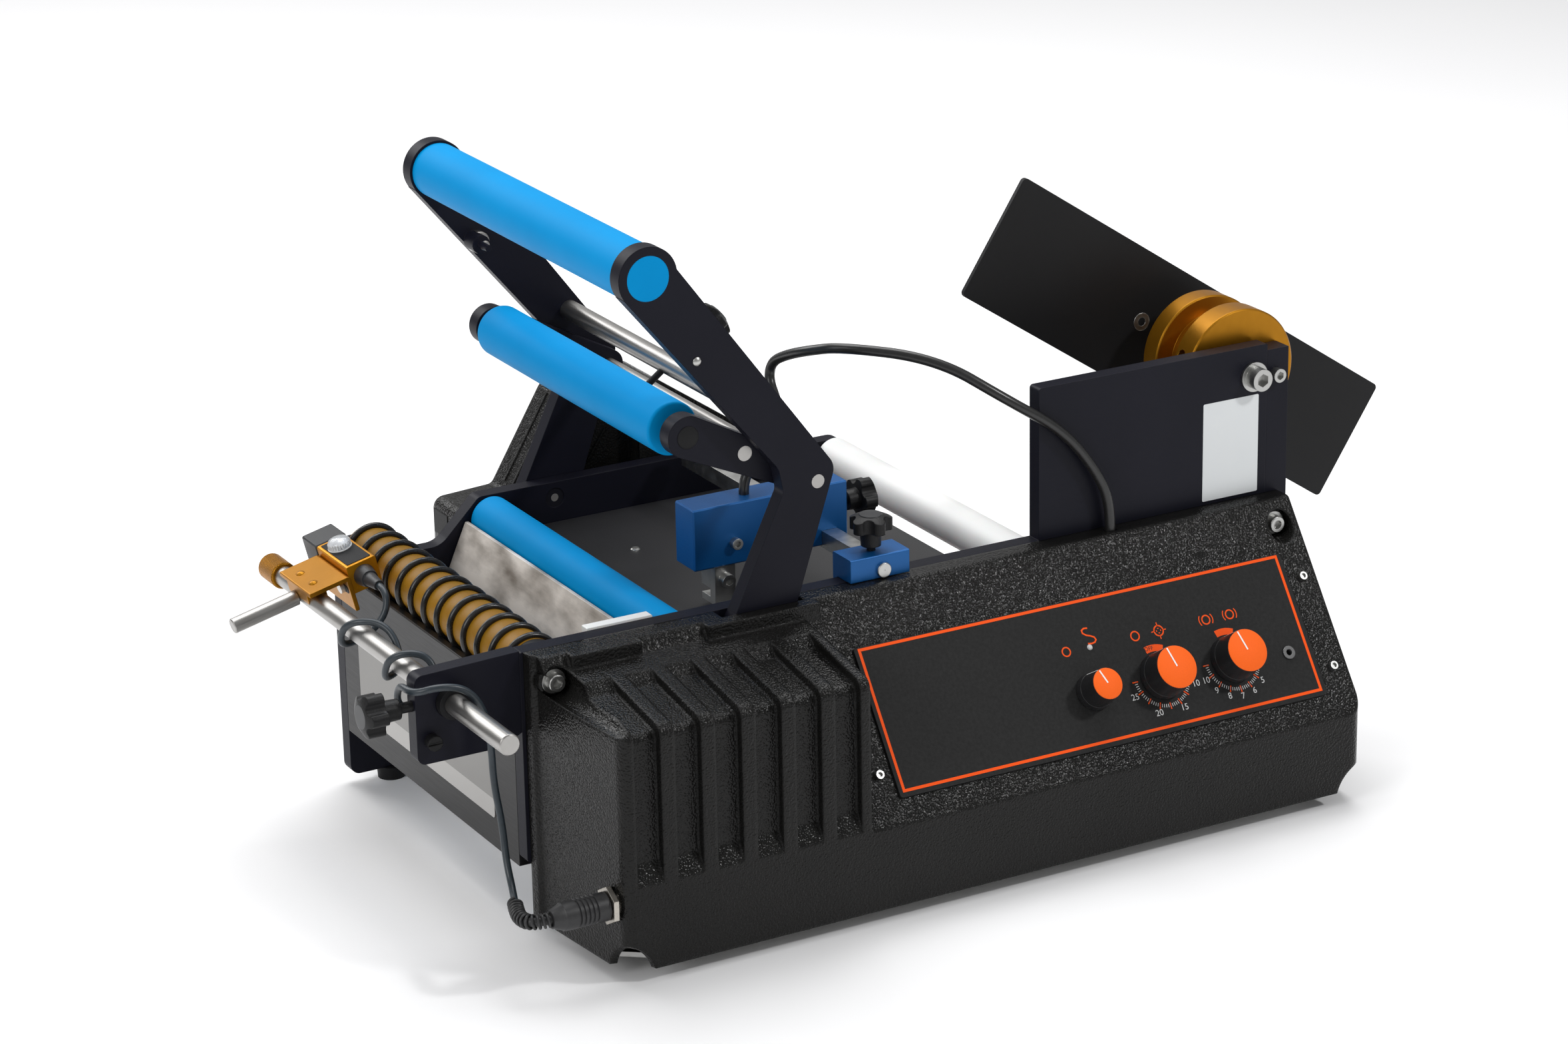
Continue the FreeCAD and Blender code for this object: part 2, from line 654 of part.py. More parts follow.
def electronics():
    """Board behind the panel with the three controls on it, and the power supply on the base."""
    board = slab_z([(PANEL_FRONT + 20, -12, 2), (PANEL_BACK - 6, -12, 2), (PANEL_BACK - 6, -74, 2),
                    (PANEL_FRONT + 20, -74, 2)], BOARD_Z - 1.6, BOARD_Z)
    solids = [on_panel(board)]
    for y in (PANEL_FRONT + 26, PANEL_BACK - 12):
        for s in (17.0, 68.0):
            solids.append(on_panel(rod_z(3.0, BOARD_Z, -COVER_WALL, y, -s)))
    for y in KNOB_YS:
        case = rod_z(8.5, BOARD_Z, -COVER_WALL - 1.0, y, -KNOB_S)
        bush = rod_z(BUSH_R, -COVER_WALL - 1.0, PANEL_T + 0.8, y, -KNOB_S)
        bore = rod_z(SPINDLE_R + RUN, -8.0 - GAP, PANEL_T + 1, y, -KNOB_S)
        solids.append(on_panel(fuse(case, bush).cut(bore)))
    low = PLATE_LOW + BASE_T
    solids.append(box(OUT + 8.0, OUT + 50.0, PLATE_L - 187.0, PLATE_L - 67.0, low, low + 34.0))
    return solids


SPINDLE_R = 3.0
BOARD_Z = -20.0
save("control_panel", control_panel())
save("electronics", *electronics())
save("power_knob", knob(KNOB_YS[0], 11.0, 9.2, 17.0))
save("length_dial", knob(KNOB_YS[1], 14.0, 12.6, 18.0))
save("gap_dial", knob(KNOB_YS[2], 14.0, 12.6, 18.0))


def sockets():
    """Sensor socket with its hex nut on the nose, jack in the panel, mains inlet at the back."""
    face = cover_nose(PLUG_X)
    nut = Part.makeCylinder(11.0, 3.0, V(PLUG_X, face - 1.2 - 3.0, PLUG_Z), V(0, 1, 0))
    corners = [V(PLUG_X + 11.0 * math.sin(math.radians(60 * k)), face - 4.2,
                 PLUG_Z + 11.0 * math.cos(math.radians(60 * k))) for k in range(7)]
    nut = nut.common(Part.Face(Part.Wire(Part.makePolygon(corners))).extrude(V(0, 3, 0)))
    barrel = rod_y(SOCKET_R - RUN, face - 1.2, face + 18.0, PLUG_X, PLUG_Z)
    front = fuse(nut, barrel)
    y, s = JACK_PLACE
    jack = rod_z(BUSH_R, -12.0, PANEL_T + 0.8, y, -s).cut(rod_z(1.8, -6.0, PANEL_T + 1, y, -s))
    flange = box(INLET_X - 6, INLET_X + INLET_W + 6, COVER_BACK, COVER_BACK + 2.5, INLET_Z - 2,
                 INLET_Z + INLET_H + 2)
    body = box(INLET_X + 0.2, INLET_X + INLET_W - 0.2, COVER_BACK - 22, COVER_BACK, INLET_Z + 0.2,
               INLET_Z + INLET_H - 0.2)
    well = box(INLET_X + 2, INLET_X + INLET_W - 2, COVER_BACK - 16, COVER_BACK + 3, INLET_Z + 2,
               INLET_Z + INLET_H - 2)
    pins = [box(x - 1, x + 1, COVER_BACK - 16, COVER_BACK - 2, INLET_Z + INLET_H / 2 - 2,
                INLET_Z + INLET_H / 2 + 2) for x in (INLET_X + 7, INLET_X + 14, INLET_X + 21)]
    return [front, on_panel(jack), fuse(fuse(flange, body).cut(well), *pins)]


save("sockets", *sockets())


# ------------------------------------------------------------------ bed, peel edge, guide strip
def bed_tray():
    """Folded sheet bed with a lip at each end."""
    side = IN - 0.5
    top = box(-side, side, BED_FRONT, BED_BACK, BED_TOP - SHEET_T, BED_TOP)
    front = box(-side, side, BED_FRONT, BED_FRONT + SHEET_T, BED_TOP - 12.0, BED_TOP - SHEET_T)
    back = box(-side, side, BED_BACK - SHEET_T, BED_BACK, BED_TOP - 12.0, BED_TOP - SHEET_T)
    return fuse(top, front, back)


def peel_plate():
    """Bent stainless sheet on its own tie, with its polished top edge against the cradle roller."""
    y = PEEL_FOOT_Y
    bend = y + 10.0
    profile = [(y - SHEET_T, 98.0), (y - SHEET_T, 114.0, 6), (bend - SHEET_T, 137.0, 40),
               (PEEL_TOP_Y - SHEET_T, PEEL_TOP_Z), (PEEL_TOP_Y, PEEL_TOP_Z), (bend, 136.5, 40),
               (y, 113.5, 6), (y, 98.0)]
    return slab_x(profile, -IN + 1.0, IN - 3.0)


def edge_strip():
    """White plastic rub strip on the right plate's inner face, beside the web."""
    return slab_x([(46, 161.5), (46, 165, 1), (86, 165, 1), (86, 161.5)], IN - STRIP_T, IN)


save("bed_tray", bed_tray())
save("peel_plate", peel_plate())
save("edge_strip", edge_strip())


# ------------------------------------------------------------------ front flap and pinch roller
LUG_T = 3.0


def front_flap():
    """Drop-down front that carries the pinch roller, so that the web can be threaded."""
    side = IN - 0.5
    sheet = box(-side, side, 0, FLAP_T, FLAP_LOW, FLAP_TOP - 1.0)
    bar = slab_x([(0, FLAP_TOP - FLAP_BAR), (0, FLAP_TOP, 0.8), (FLAP_BAR, FLAP_TOP, 0.8),
                  (FLAP_BAR, FLAP_TOP - FLAP_BAR)], -side, side)
    hem = box(-side, side, FLAP_T, FLAP_T + 8.0, FLAP_LOW, FLAP_LOW + FLAP_T)
    lugs = []
    for x in (PINCH_LEFT - GAP - LUG_T, PINCH_RIGHT + GAP):
        lug = slab_x([(FLAP_T - 1, PINCH_Z - 9), (FLAP_T - 1, PINCH_Z + 8), (PINCH_Y + 7, PINCH_Z + 7, 6),
                      (PINCH_Y + 7, PINCH_Z - 7, 6)], x, x + LUG_T)
        lugs.append(lug.cut(rod_x(3.0 + RUN, x, x + LUG_T, PINCH_Y, PINCH_Z)))
    pins = [rod_x(HINGE_PIN_R, x, x + PLATE_T - 4.0, hinge_y, hinge_z)
            for x in (-IN - PLATE_T + 4.5, IN - 0.5)]
    return fuse(sheet, bar, hem, *(lugs + pins))


def pinch_roller():
    sleeve = rod_x(PINCH_R, PINCH_LEFT, PINCH_RIGHT, PINCH_Y, PINCH_Z)
    shaft = rod_x(3.0, PINCH_LEFT - LUG_T - GAP, PINCH_RIGHT + LUG_T + GAP, PINCH_Y, PINCH_Z)
    return fuse(sleeve, shaft)


save("front_flap", front_flap())
save("pinch_roller", pinch_roller())


# ------------------------------------------------------------------ drive roller, motor, belt
def shaft_between_plates(r, y, z):
    reach = IN + PLATE_T - 3.0
    return rod_x(r, -reach, reach, y, z)


def drive_roller():
    """Amber sleeve on its shaft, with a groove for each ring and a belt land at the right end."""
    side = IN - ROLLER_END
    body = rod_x(DRIVE_R, -side, side, DRIVE_Y, DRIVE_Z)
    for k in range(RING_COUNT):
        body = body.cut(ring_solid(k))
    land = ring(DRIVE_R + 1, DRIVE_R - BELT_T, BELT_X - 1.0, BELT_X + BELT_W + 1.0, DRIVE_Y, DRIVE_Z)
    return fuse(body.cut(land), shaft_between_plates(SHAFT_R, DRIVE_Y, DRIVE_Z))


def ring_solid(k):
    section = RING_SECTION / 2.0
    centre = DRIVE_R + RING_PROUD - section
    return Part.makeTorus(centre, section, V(RING_FIRST_X + RING_PITCH * k, DRIVE_Y, DRIVE_Z),
                          V(1, 0, 0))


def drive_belt():
    """Flat belt from the motor pulley up to the land on the drive roller."""
    spread = V(0, MOTOR_Y - DRIVE_Y, MOTOR_Z - DRIVE_Z)
    big = DRIVE_R - BELT_T + GAP
    small = PULLEY_R + GAP

    def loop(grow):
        r1 = big + grow
        r2 = small + grow
        lean = math.asin((r1 - r2) / spread.Length)
        along = math.atan2(spread.z, spread.y)
        points = []
        for sign in (1, -1):
            normal = along + sign * (math.pi / 2.0 - lean)
            points.append((V(0, DRIVE_Y + r1 * math.cos(normal), DRIVE_Z + r1 * math.sin(normal)),
                           V(0, MOTOR_Y + r2 * math.cos(normal), MOTOR_Z + r2 * math.sin(normal))))
        far1 = V(0, DRIVE_Y - r1 * math.cos(along), DRIVE_Z - r1 * math.sin(along))
        far2 = V(0, MOTOR_Y + r2 * math.cos(along), MOTOR_Z + r2 * math.sin(along))
        edges = [Part.LineSegment(points[0][0], points[0][1]).toShape(),
                 Part.Arc(points[0][1], far2, points[1][1]).toShape(),
                 Part.LineSegment(points[1][1], points[1][0]).toShape(),
                 Part.Arc(points[1][0], far1, points[0][0]).toShape()]
        face = Part.Face(Part.Wire(edges))
        face.translate(V(BELT_X, 0, 0))
        return face.extrude(V(BELT_W, 0, 0))
    return loop(BELT_T).cut(loop(0.0))


def motor_pulley():
    """Flanged pulley on the motor's shaft, just inside the right plate."""
    barrel = rod_x(PULLEY_R, BELT_X - 0.5, BELT_X + BELT_W + 0.5, MOTOR_Y, MOTOR_Z)
    cheeks = [rod_x(PULLEY_R + BELT_T + 1.5, x, x + 1.2, MOTOR_Y, MOTOR_Z)
              for x in (BELT_X - 1.7, BELT_X + BELT_W + 0.5)]
    shaft = rod_x(SHAFT_R, BELT_X - 4.0, OUT + 10.0, MOTOR_Y, MOTOR_Z)
    return fuse(barrel, shaft, *cheeks)


def drive_motor():
    """Square stepper motor on the outer side of the right plate."""
    half = MOTOR_W / 2.0
    case = slab_x([(MOTOR_Y - half, MOTOR_Z - half, 5), (MOTOR_Y - half, MOTOR_Z + half, 5),
                   (MOTOR_Y + half, MOTOR_Z + half, 5), (MOTOR_Y + half, MOTOR_Z - half, 5)],
                  OUT, OUT + MOTOR_L)
    return case.cut(rod_x(SHAFT_R + RUN, OUT, OUT + 10.0 + GAP, MOTOR_Y, MOTOR_Z))


save("drive_roller", drive_roller())
save("drive_roller_rings", *[ring_solid(k) for k in range(RING_COUNT)])
save("motor_pulley", motor_pulley())
save("drive_motor", drive_motor())
save("drive_belt", drive_belt())


# ------------------------------------------------------------------ cradle and guide rollers
def plain_roller(r, y, z):
    side = IN - ROLLER_END
    sleeve = rod_x(r, -side, side, y, z)
    sleeve = sleeve.makeChamfer(1.0, [e for e in sleeve.Edges if abs(e.Length - 2 * math.pi * r) < 0.1])
    return fuse(sleeve, shaft_between_plates(SHAFT_R, y, z))


save("cradle_roller", plain_roller(CRADLE_R, CRADLE_Y, CRADLE_Z))
save("guide_roller", plain_roller(GUIDE_R, GUIDE_Y, GUIDE_Z))


# ------------------------------------------------------------------ swinging arms
def arm(x0, head_x):
    """Cranked arm plate: handle boss, long upper leg, elbow and lower leg to the pivot."""
    leg = slab_x([(HANDLE_Y - 14.6, HANDLE_Z - 10.1), (HANDLE_Y + 14.9, HANDLE_Z + 5.8),
                  (191.0, 240.5, 10), (HEEL_Y, HEEL_Z), (HEEL_IN_Y, HEEL_IN_Z),
                  (PIVOT_Y - 14.5, PIVOT_Z + 8.6), (158.3, 230.5, 6), (155.6, 244.5, 12)],
                 x0, x0 + ARM_T)
    boss = rod_x(HANDLE_BOSS_R, x0, x0 + ARM_T, HANDLE_Y, HANDLE_Z)
    foot = rod_x(ARM_FOOT_R, x0, x0 + ARM_T, PIVOT_Y, PIVOT_Z)
    plate = fuse(leg, boss, foot)
    plate = plate.cut(rod_x(PIVOT_R + RUN, x0, x0 + ARM_T, PIVOT_Y, PIVOT_Z))
    plate = plate.cut(rod_x(PIVOT_HEAD_R + GAP, head_x, head_x + PIVOT_HEAD_T + GAP, PIVOT_Y, PIVOT_Z))
    plate = plate.cut(rod_x(ELBOW_ROD_R, x0, x0 + ARM_T, ELBOW_Y, ELBOW_Z))
    return plate.cut(rod_x(GRIP_PIN_R, x0, x0 + ARM_T, HANDLE_Y, HANDLE_Z))


GRIP_PIN_R = 12.5
dowel = rod_x(2.0, ARM_OUT, ARM_OUT + 0.8, DOWEL_Y, DOWEL_Z)
save("right_arm", fuse(arm(ARM_IN, ARM_OUT - PIVOT_HEAD_T - GAP), dowel))
spacer_end = -ARM_IN + SPACER_L
arm_stud = fuse(rod_x(SPACER_R, -ARM_IN, spacer_end, SPACER_Y, SPACER_Z),
                rod_x(2.0, spacer_end, spacer_end + 10.0, SPACER_Y, SPACER_Z))
save("left_arm", fuse(arm(-ARM_OUT, -ARM_OUT), arm_stud))


def handle_grip():
    """Sleeved handle bar whose ends pass through the arms and show as flush discs."""
    grip = rod_x(HANDLE_R, -ARM_IN, ARM_IN, HANDLE_Y, HANDLE_Z)
    return fuse(grip, rod_x(GRIP_PIN_R, -ARM_OUT, ARM_OUT, HANDLE_Y, HANDLE_Z))


save("handle_grip", handle_grip())
stud_way = V(0, TIE_ROD_Y - CROSSBAR_Y, TIE_ROD_Z - CROSSBAR_Z).normalize()


def arm_rods():
    """Crossbar, tapped for the adjuster, and the elbow rod that the yoke turns on."""
    crossbar = rod_x(CROSSBAR_R, -ARM_IN, ARM_IN, CROSSBAR_Y, CROSSBAR_Z)
    tapped = Part.makeCylinder(STUD_R + RUN, 20.0, V(0, CROSSBAR_Y, CROSSBAR_Z) - stud_way * 10.0, stud_way)
    elbow = rod_x(ELBOW_ROD_R, -ARM_OUT, ARM_OUT, ELBOW_Y, ELBOW_Z)
    return [crossbar.cut(tapped), elbow]


save("arm_rods", *arm_rods())


def arm_pins():
    """Pivot pins with their heads let into the arms, and the stops that the arms rest back on."""
    solids = []
    for side in (1, -1):
        a, b = sorted((side * (IN + 0.5), side * ARM_OUT))
        pin = rod_x(PIVOT_R, a, b, PIVOT_Y, PIVOT_Z)
        c, d = sorted((side * (ARM_OUT - PIVOT_HEAD_T), side * ARM_OUT))
        pin = fuse(pin, rod_x(PIVOT_HEAD_R, c, d, PIVOT_Y, PIVOT_Z))
        if side < 0:
            pin = fuse(pin, rod_x(SPRING_PIN_R, -ARM_OUT - SPRING_L, -ARM_OUT, PIVOT_Y, PIVOT_Z))
        solids.append(pin)
        e, f = sorted((side * (OUT - 6.0), side * (ARM_OUT - 1.5)))
        solids.append(rod_x(STOP_R, e, f, STOP_Y, STOP_Z))
    return solids


SPRING_PIN_R = 3.6
SPRING_L = 22.0
SPRING_WIRE = 1.2


save("arm_pins", *arm_pins())


def return_spring():
    """Close-wound torsion spring on the left pivot pin: its coils touch, so it is one solid."""
    pitch = SPRING_WIRE * 1.9
    middle = SPRING_PIN_R + SPRING_WIRE + 0.6
    spring = None
    for k in range(8):
        x = -ARM_OUT - 1.5 - SPRING_WIRE - k * pitch
        coil = Part.makeTorus(middle, SPRING_WIRE, V(x, PIVOT_Y, PIVOT_Z), V(1, 0, 0))
        spring = coil if spring is None else spring.fuse(coil)
    return spring


save("arm_return_spring", return_spring())


# ------------------------------------------------------------------ yoke and pressure roller
LINK_OUT = ARM_IN - 1.0
LINK_IN = LINK_OUT - LINK_T


def yoke_links():
    """Pair of links that hang the pressure roller from the elbow rod."""
    links = []
    for x0 in (LINK_IN, -LINK_OUT):
        link = fuse(slab_x(tangent_link(PRESS_Y, PRESS_Z, LINK_R, ELBOW_Y, ELBOW_Z, 9.0), x0, x0 + LINK_T),
                    rod_x(LINK_R, x0, x0 + LINK_T, PRESS_Y, PRESS_Z),
                    rod_x(9.0, x0, x0 + LINK_T, ELBOW_Y, ELBOW_Z))
        link = link.cut(rod_x(ELBOW_ROD_R + RUN, x0, x0 + LINK_T, ELBOW_Y, ELBOW_Z))
        link = link.cut(rod_x(PRESS_SHAFT_R, x0, x0 + LINK_T, PRESS_Y, PRESS_Z))
        links.append(link.cut(rod_x(TIE_ROD_R, x0, x0 + LINK_T, TIE_ROD_Y, TIE_ROD_Z)))
    return links


def tangent_link(y1, z1, r1, y2, z2, r2):
    """Four corners of the outline that just touches two end circles."""
    along = math.atan2(z2 - z1, y2 - y1)
    lean = math.acos((r1 - r2) / math.hypot(y2 - y1, z2 - z1))
    corners = []
    for y, z, r, order in ((y1, z1, r1, (1, -1)), (y2, z2, r2, (-1, 1))):
        for sign in order:
            corners.append((y + r * math.cos(along + sign * lean), z + r * math.sin(along + sign * lean)))
    return corners


def yoke_rods():
    """Tie rod that the adjuster presses on, and the fixed shaft of the pressure roller."""
    tie = rod_x(TIE_ROD_R, -LINK_OUT, LINK_OUT, TIE_ROD_Y, TIE_ROD_Z)
    hole = Part.makeCylinder(STUD_R + 1.0, 30.0, V(0, TIE_ROD_Y, TIE_ROD_Z) - stud_way * 15.0, stud_way)
    return [tie.cut(hole), rod_x(PRESS_SHAFT_R, -LINK_OUT, LINK_OUT, PRESS_Y, PRESS_Z)]


save("yoke_links", *yoke_links())
save("yoke_rods", *yoke_rods())
press = ring(PRESS_R, PRESS_SHAFT_R + RUN, -PRESS_HALF_L, PRESS_HALF_L, PRESS_Y, PRESS_Z)
rims = [e for e in press.Edges if abs(e.Length - 2 * math.pi * PRESS_R) < 0.1]
save("pressure_roller", press.makeFillet(1.5, rims))
knob_place = V(0, CROSSBAR_Y, CROSSBAR_Z) - stud_way * (CROSSBAR_R + 1.0)
save("adjuster_knob", star_knob(knob_place, stud_way * -1, STUD_R, 14.0, 8.0,
                                inside=CROSSBAR_R * 2 + 20.0))


# ------------------------------------------------------------------ reel shaft, hub, side guide
def reel_shaft():
    right = IN
    left = -IN + 25.0
    shaft = rod_x(REEL_SHAFT_R, left, right, REEL_Y, REEL_Z)
    collar = rod_x(REEL_SHAFT_R + 5.0, left, left + 6.0, REEL_Y, REEL_Z)
    return fuse(shaft, collar).cut(rod_x(REEL_SCREW_R + RUN, right - 12.5, right, REEL_Y, REEL_Z))


def reel_hub():
    """Core holder turned from one bar: two discs with a groove between them."""
    x2 = REEL_DISC_X
    x1 = x2 - REEL_DISC_T
    x0 = x1 - REEL_GROOVE_W - REEL_DISC_T + 2.5
    right = rod_x(REEL_DISC_R, x1, x2, REEL_Y, REEL_Z)
    neck = rod_x(REEL_GROOVE_R, x0, x1, REEL_Y, REEL_Z)
    left = rod_x(REEL_DISC_R, x0, x0 + REEL_DISC_T - 2.5, REEL_Y, REEL_Z)
    hub = fuse(right, neck, left)
    rims = [e for e in hub.Edges if abs(e.Length - 2 * math.pi * REEL_DISC_R) < 0.1]
    hub = hub.makeChamfer(0.8, rims)
    hub = hub.cut(rod_x(REEL_SHAFT_R + RUN, x0, x2, REEL_Y, REEL_Z))
    hub = hub.cut(rod_x(BUSH_OUT_R + RUN, x2 - 4.0, x2, REEL_Y, REEL_Z))
    pinch = Part.makeCylinder(3.2, REEL_DISC_R, V((x1 + x2) / 2.0 - 2.0, REEL_Y, REEL_Z),
                              V(0, -math.cos(0.35), math.sin(0.35)))
    return hub.cut(pinch)


BUSH_OUT_R = 9.2
save("reel_shaft", reel_shaft())
save("reel_hub", reel_hub())
save("reel_bush", ring(BUSH_OUT_R, REEL_SHAFT_R, REEL_DISC_X - 4.0 + GAP, IN, REEL_Y, REEL_Z))


def reel_guide():
    """Side guide that slides along the shaft: a long plate screwed to a boss."""
    half_l = GUIDE_PLATE_L / 2.0
    half_w = GUIDE_PLATE_W / 2.0
    x0 = GUIDE_PLATE_X
    corner = GUIDE_PLATE_R
    plate = slab_x([(-half_l, -half_w, corner), (half_l, -half_w, corner), (half_l, half_w, corner),
                    (-half_l, half_w, corner)], x0, x0 + GUIDE_PLATE_T)
    plate.rotate(V(0, 0, 0), V(1, 0, 0), GUIDE_PLATE_TURN)
    plate.translate(V(0, REEL_Y, REEL_Z))
    boss = rod_x(REEL_DISC_R + 6.0, x0 - 14.0, x0, REEL_Y, REEL_Z)
    guide = fuse(plate, boss)
    return guide.cut(rod_x(REEL_SHAFT_R + RUN, x0 - 14.0, x0 + GUIDE_PLATE_T, REEL_Y, REEL_Z))


save("reel_guide", reel_guide())


# ------------------------------------------------------------------ label sensor on its bar
def bar_clamp():
    """Inverted channel that sits over the right plate's top edge and holds the bar."""
    wall = 4.7
    body = slab_y([(IN - wall - GAP, 158.0), (IN - wall - GAP, CLAMP_TOP, 1), (OUT + wall + GAP, CLAMP_TOP, 1),
                   (OUT + wall + GAP, CLAMP_LOW), (OUT + GAP, CLAMP_LOW), (OUT + GAP, PLATE_TOP + GAP),
                   (IN - GAP, PLATE_TOP + GAP), (IN - GAP, 158.0)], CLAMP_FRONT, CLAMP_BACK)
    seat = box(IN - wall - 1.0, OUT + 2.0, BAR_Y, BAR_Y + BAR, PLATE_TOP + GAP, BAR_Z + BAR)
    pin = rod_x(4.5, OUT + wall, OUT + wall + GAP + 0.6, BAR_Y + 5.0, 171.0)
    bore = rod_z(CLAMP_STUD_R + RUN, BAR_Z + BAR, CLAMP_TOP, OUT - 5.0, BAR_Y + 3.0)
    return fuse(body, pin).cut(seat).cut(bore)


CLAMP_LOW = PLATE_TOP + 0.5
CLAMP_STUD_R = 2.5
save("bar_clamp", bar_clamp())
save("sensor_bar", box(BAR_LEFT, OUT + 2.0, BAR_Y, BAR_Y + BAR, BAR_Z, BAR_Z + BAR))
save("bar_clamp_knob", star_knob(V(OUT - 5.0, BAR_Y + 3.0, CLAMP_TOP), V(0, 0, 1), CLAMP_STUD_R,
                                 3.0, 9.0, head_h=9.0, inside=CLAMP_TOP - BAR_Z - BAR - GAP))


def sensor_block():
    """Housing of the label sensor, notched over the bar."""
    body = box(BLOCK_X, BLOCK_X + BLOCK_W, BLOCK_FRONT, BLOCK_BACK, BLOCK_LOW, BLOCK_TOP)
    body = body.makeChamfer(0.8, [e for e in body.Edges])
    notch = box(BLOCK_X - 1, BLOCK_X + BLOCK_W + 1, BAR_Y - RUN, BAR_Y + BAR + RUN, BLOCK_LOW - 1,
                BAR_Z + BAR + RUN)
    bore = rod_y(CLAMP_STUD_R + RUN, BLOCK_BACK - 6.0 - GAP, BLOCK_BACK, BLOCK_X + BLOCK_W / 2.0,
                 BLOCK_LOW + 20.0)
    return body.cut(notch).cut(bore)


def label_fork():
    """Forked sensing head under the block, open towards the web, with its screws."""
    x0 = BLOCK_X + 4.0
    x1 = BLOCK_X + BLOCK_W - 2.0
    y0 = BLOCK_FRONT + 14.0
    body = box(x0, x1, y0, y0 + 13.0, BED_TOP + 3.0, BLOCK_LOW)
    gap = box(x0 - 1, x1 - 6.0, y0 - 1, y0 + 14.0, BED_TOP + 7.0, BED_TOP + 12.0)
    fork = body.cut(gap)
    screws = [cap_screw(V(x1, y0 + 6.5, BED_TOP + 18.0), V(1, 0, 0), 2.5, 0.0),
              cap_screw(V(BLOCK_X + BLOCK_W, BLOCK_FRONT + 26.0, BLOCK_LOW + 13.0), V(1, 0, 0), 2.0, 0.0),
              cap_screw(V(BLOCK_X + BLOCK_W, BLOCK_FRONT + 62.0, BLOCK_LOW + 16.0), V(1, 0, 0), 2.0, 0.0)]
    return [fork] + screws


save("sensor_block", sensor_block())
save("sensor_block_knob", star_knob(V(BLOCK_X + BLOCK_W / 2.0, BLOCK_BACK, BLOCK_LOW + 20.0), V(0, 1, 0),
                                    CLAMP_STUD_R, 5.0, 7.0, head_h=10.0, inside=6.0))
save("label_fork", *label_fork())


# ------------------------------------------------------------------ bottle sensor on its rod
FINGER_X = ROD_LEFT + 32.0
BRACKET_X0 = IN
BRACKET_X1 = OUT


def rod_bracket():
    """Plate on the front edge of the right side plate, bored for the rod's collar."""
    plate = slab_x([(BRACKET_FRONT, BRACKET_LOW, 5), (BRACKET_FRONT, BRACKET_TOP - 2.0, 5),
                    (0, BRACKET_TOP), (0, BRACKET_LOW + 6.0), (-14.0, BRACKET_LOW, 3)], BRACKET_X0, BRACKET_X1)
    plate = plate.cut(rod_x(COLLAR_R + RUN, BRACKET_X0, BRACKET_X1, ROD_Y, ROD_Z))
    return plate.cut(rod_y(STAR_STUD_R + RUN, BRACKET_FRONT, ROD_Y, (BRACKET_X0 + BRACKET_X1) / 2.0, ROD_Z))


STAR_STUD_R = 3.0
save("rod_bracket", rod_bracket())
collar = ring(COLLAR_R, ROD_R + RUN, BRACKET_X0 - 1.0, BRACKET_X1 + 5.0, ROD_Y, ROD_Z)
save("rod_collar", collar)
depth = ROD_Y - COLLAR_R - BRACKET_FRONT - GAP
save("bracket_knob", star_knob(V((BRACKET_X0 + BRACKET_X1) / 2.0, BRACKET_FRONT, ROD_Z), V(0, -1, 0),
                               STAR_STUD_R, 8.0, 10.0, inside=depth))


def clocked(shape):
    """Turn a piece of the bottle sensor about the rod to its working angle."""
    shape = shape.copy()
    shape.rotate(V(0, ROD_Y, ROD_Z), V(1, 0, 0), TILT)
    return shape


def sensor_rod():
    """Main rod with a short finger rod screwed into it crosswise."""
    main = rod_x(ROD_R, ROD_LEFT, ROD_RIGHT, ROD_Y, ROD_Z)
    rims = [e for e in main.Edges if abs(e.Length - 2 * math.pi * ROD_R) < 0.1]
    main = main.makeChamfer(0.6, rims)
    finger = rod_y(3.0, ROD_Y - 47.4, ROD_Y - 2.0, FINGER_X, ROD_Z)
    return fuse(main, clocked(finger))


def sensor_bracket():
    """Gold angle bracket on a saddle, with the two screws that hold it down."""
    x0 = ROD_LEFT + 15.0
    x1 = x0 + 43.0
    top = 10.85
    leg = 19.3
    plate = slab_x([(ROD_Y - 6.7, ROD_Z + top - 2.5), (ROD_Y - 6.7, ROD_Z + top, 0.8),
                    (ROD_Y + leg, ROD_Z + top, 2), (ROD_Y + leg, ROD_Z - 11.0, 0.8),
                    (ROD_Y + leg - 2.5, ROD_Z - 11.0, 0.8), (ROD_Y + leg - 2.5, ROD_Z + top - 2.5)], x0, x1)
    saddle = box(x0 + 7, x1 - 8, ROD_Y - 6.0, ROD_Y + 6.0, ROD_Z + 1.0, ROD_Z + top - 2.5)
    saddle = saddle.cut(rod_x(ROD_R + RUN, x0, x1, ROD_Y, ROD_Z))
    saddle = saddle.cut(rod_y(3.0 + RUN, ROD_Y - 20.0, ROD_Y, FINGER_X, ROD_Z))
    heads = [Part.makeCone(2.6, 1.8, 0.9, V(x, ROD_Y + 1.0, ROD_Z + top)) for x in (x0 + 13.0, x0 + 31.0)]
    return clocked(fuse(plate, saddle, *heads))


SENSOR_X = ROD_LEFT + 13.5
SENSOR_L = 41.5


def bottle_sensor():
    """Boxed optical sensor behind the bracket's leg."""
    body = box(SENSOR_X, SENSOR_X + SENSOR_L, ROD_Y + 19.3, ROD_Y + 38.0, ROD_Z - 2.0, ROD_Z + 15.0)
    body = body.makeFillet(1.2, [e for e in body.Edges if e.Length > 40.0])
    nut = Part.makeCylinder(3.4, 2.6, V(SENSOR_X + 34.5, ROD_Y + 16.8 - 2.6, ROD_Z + 2.0), V(0, 1, 0))
    return [clocked(body), clocked(nut)]


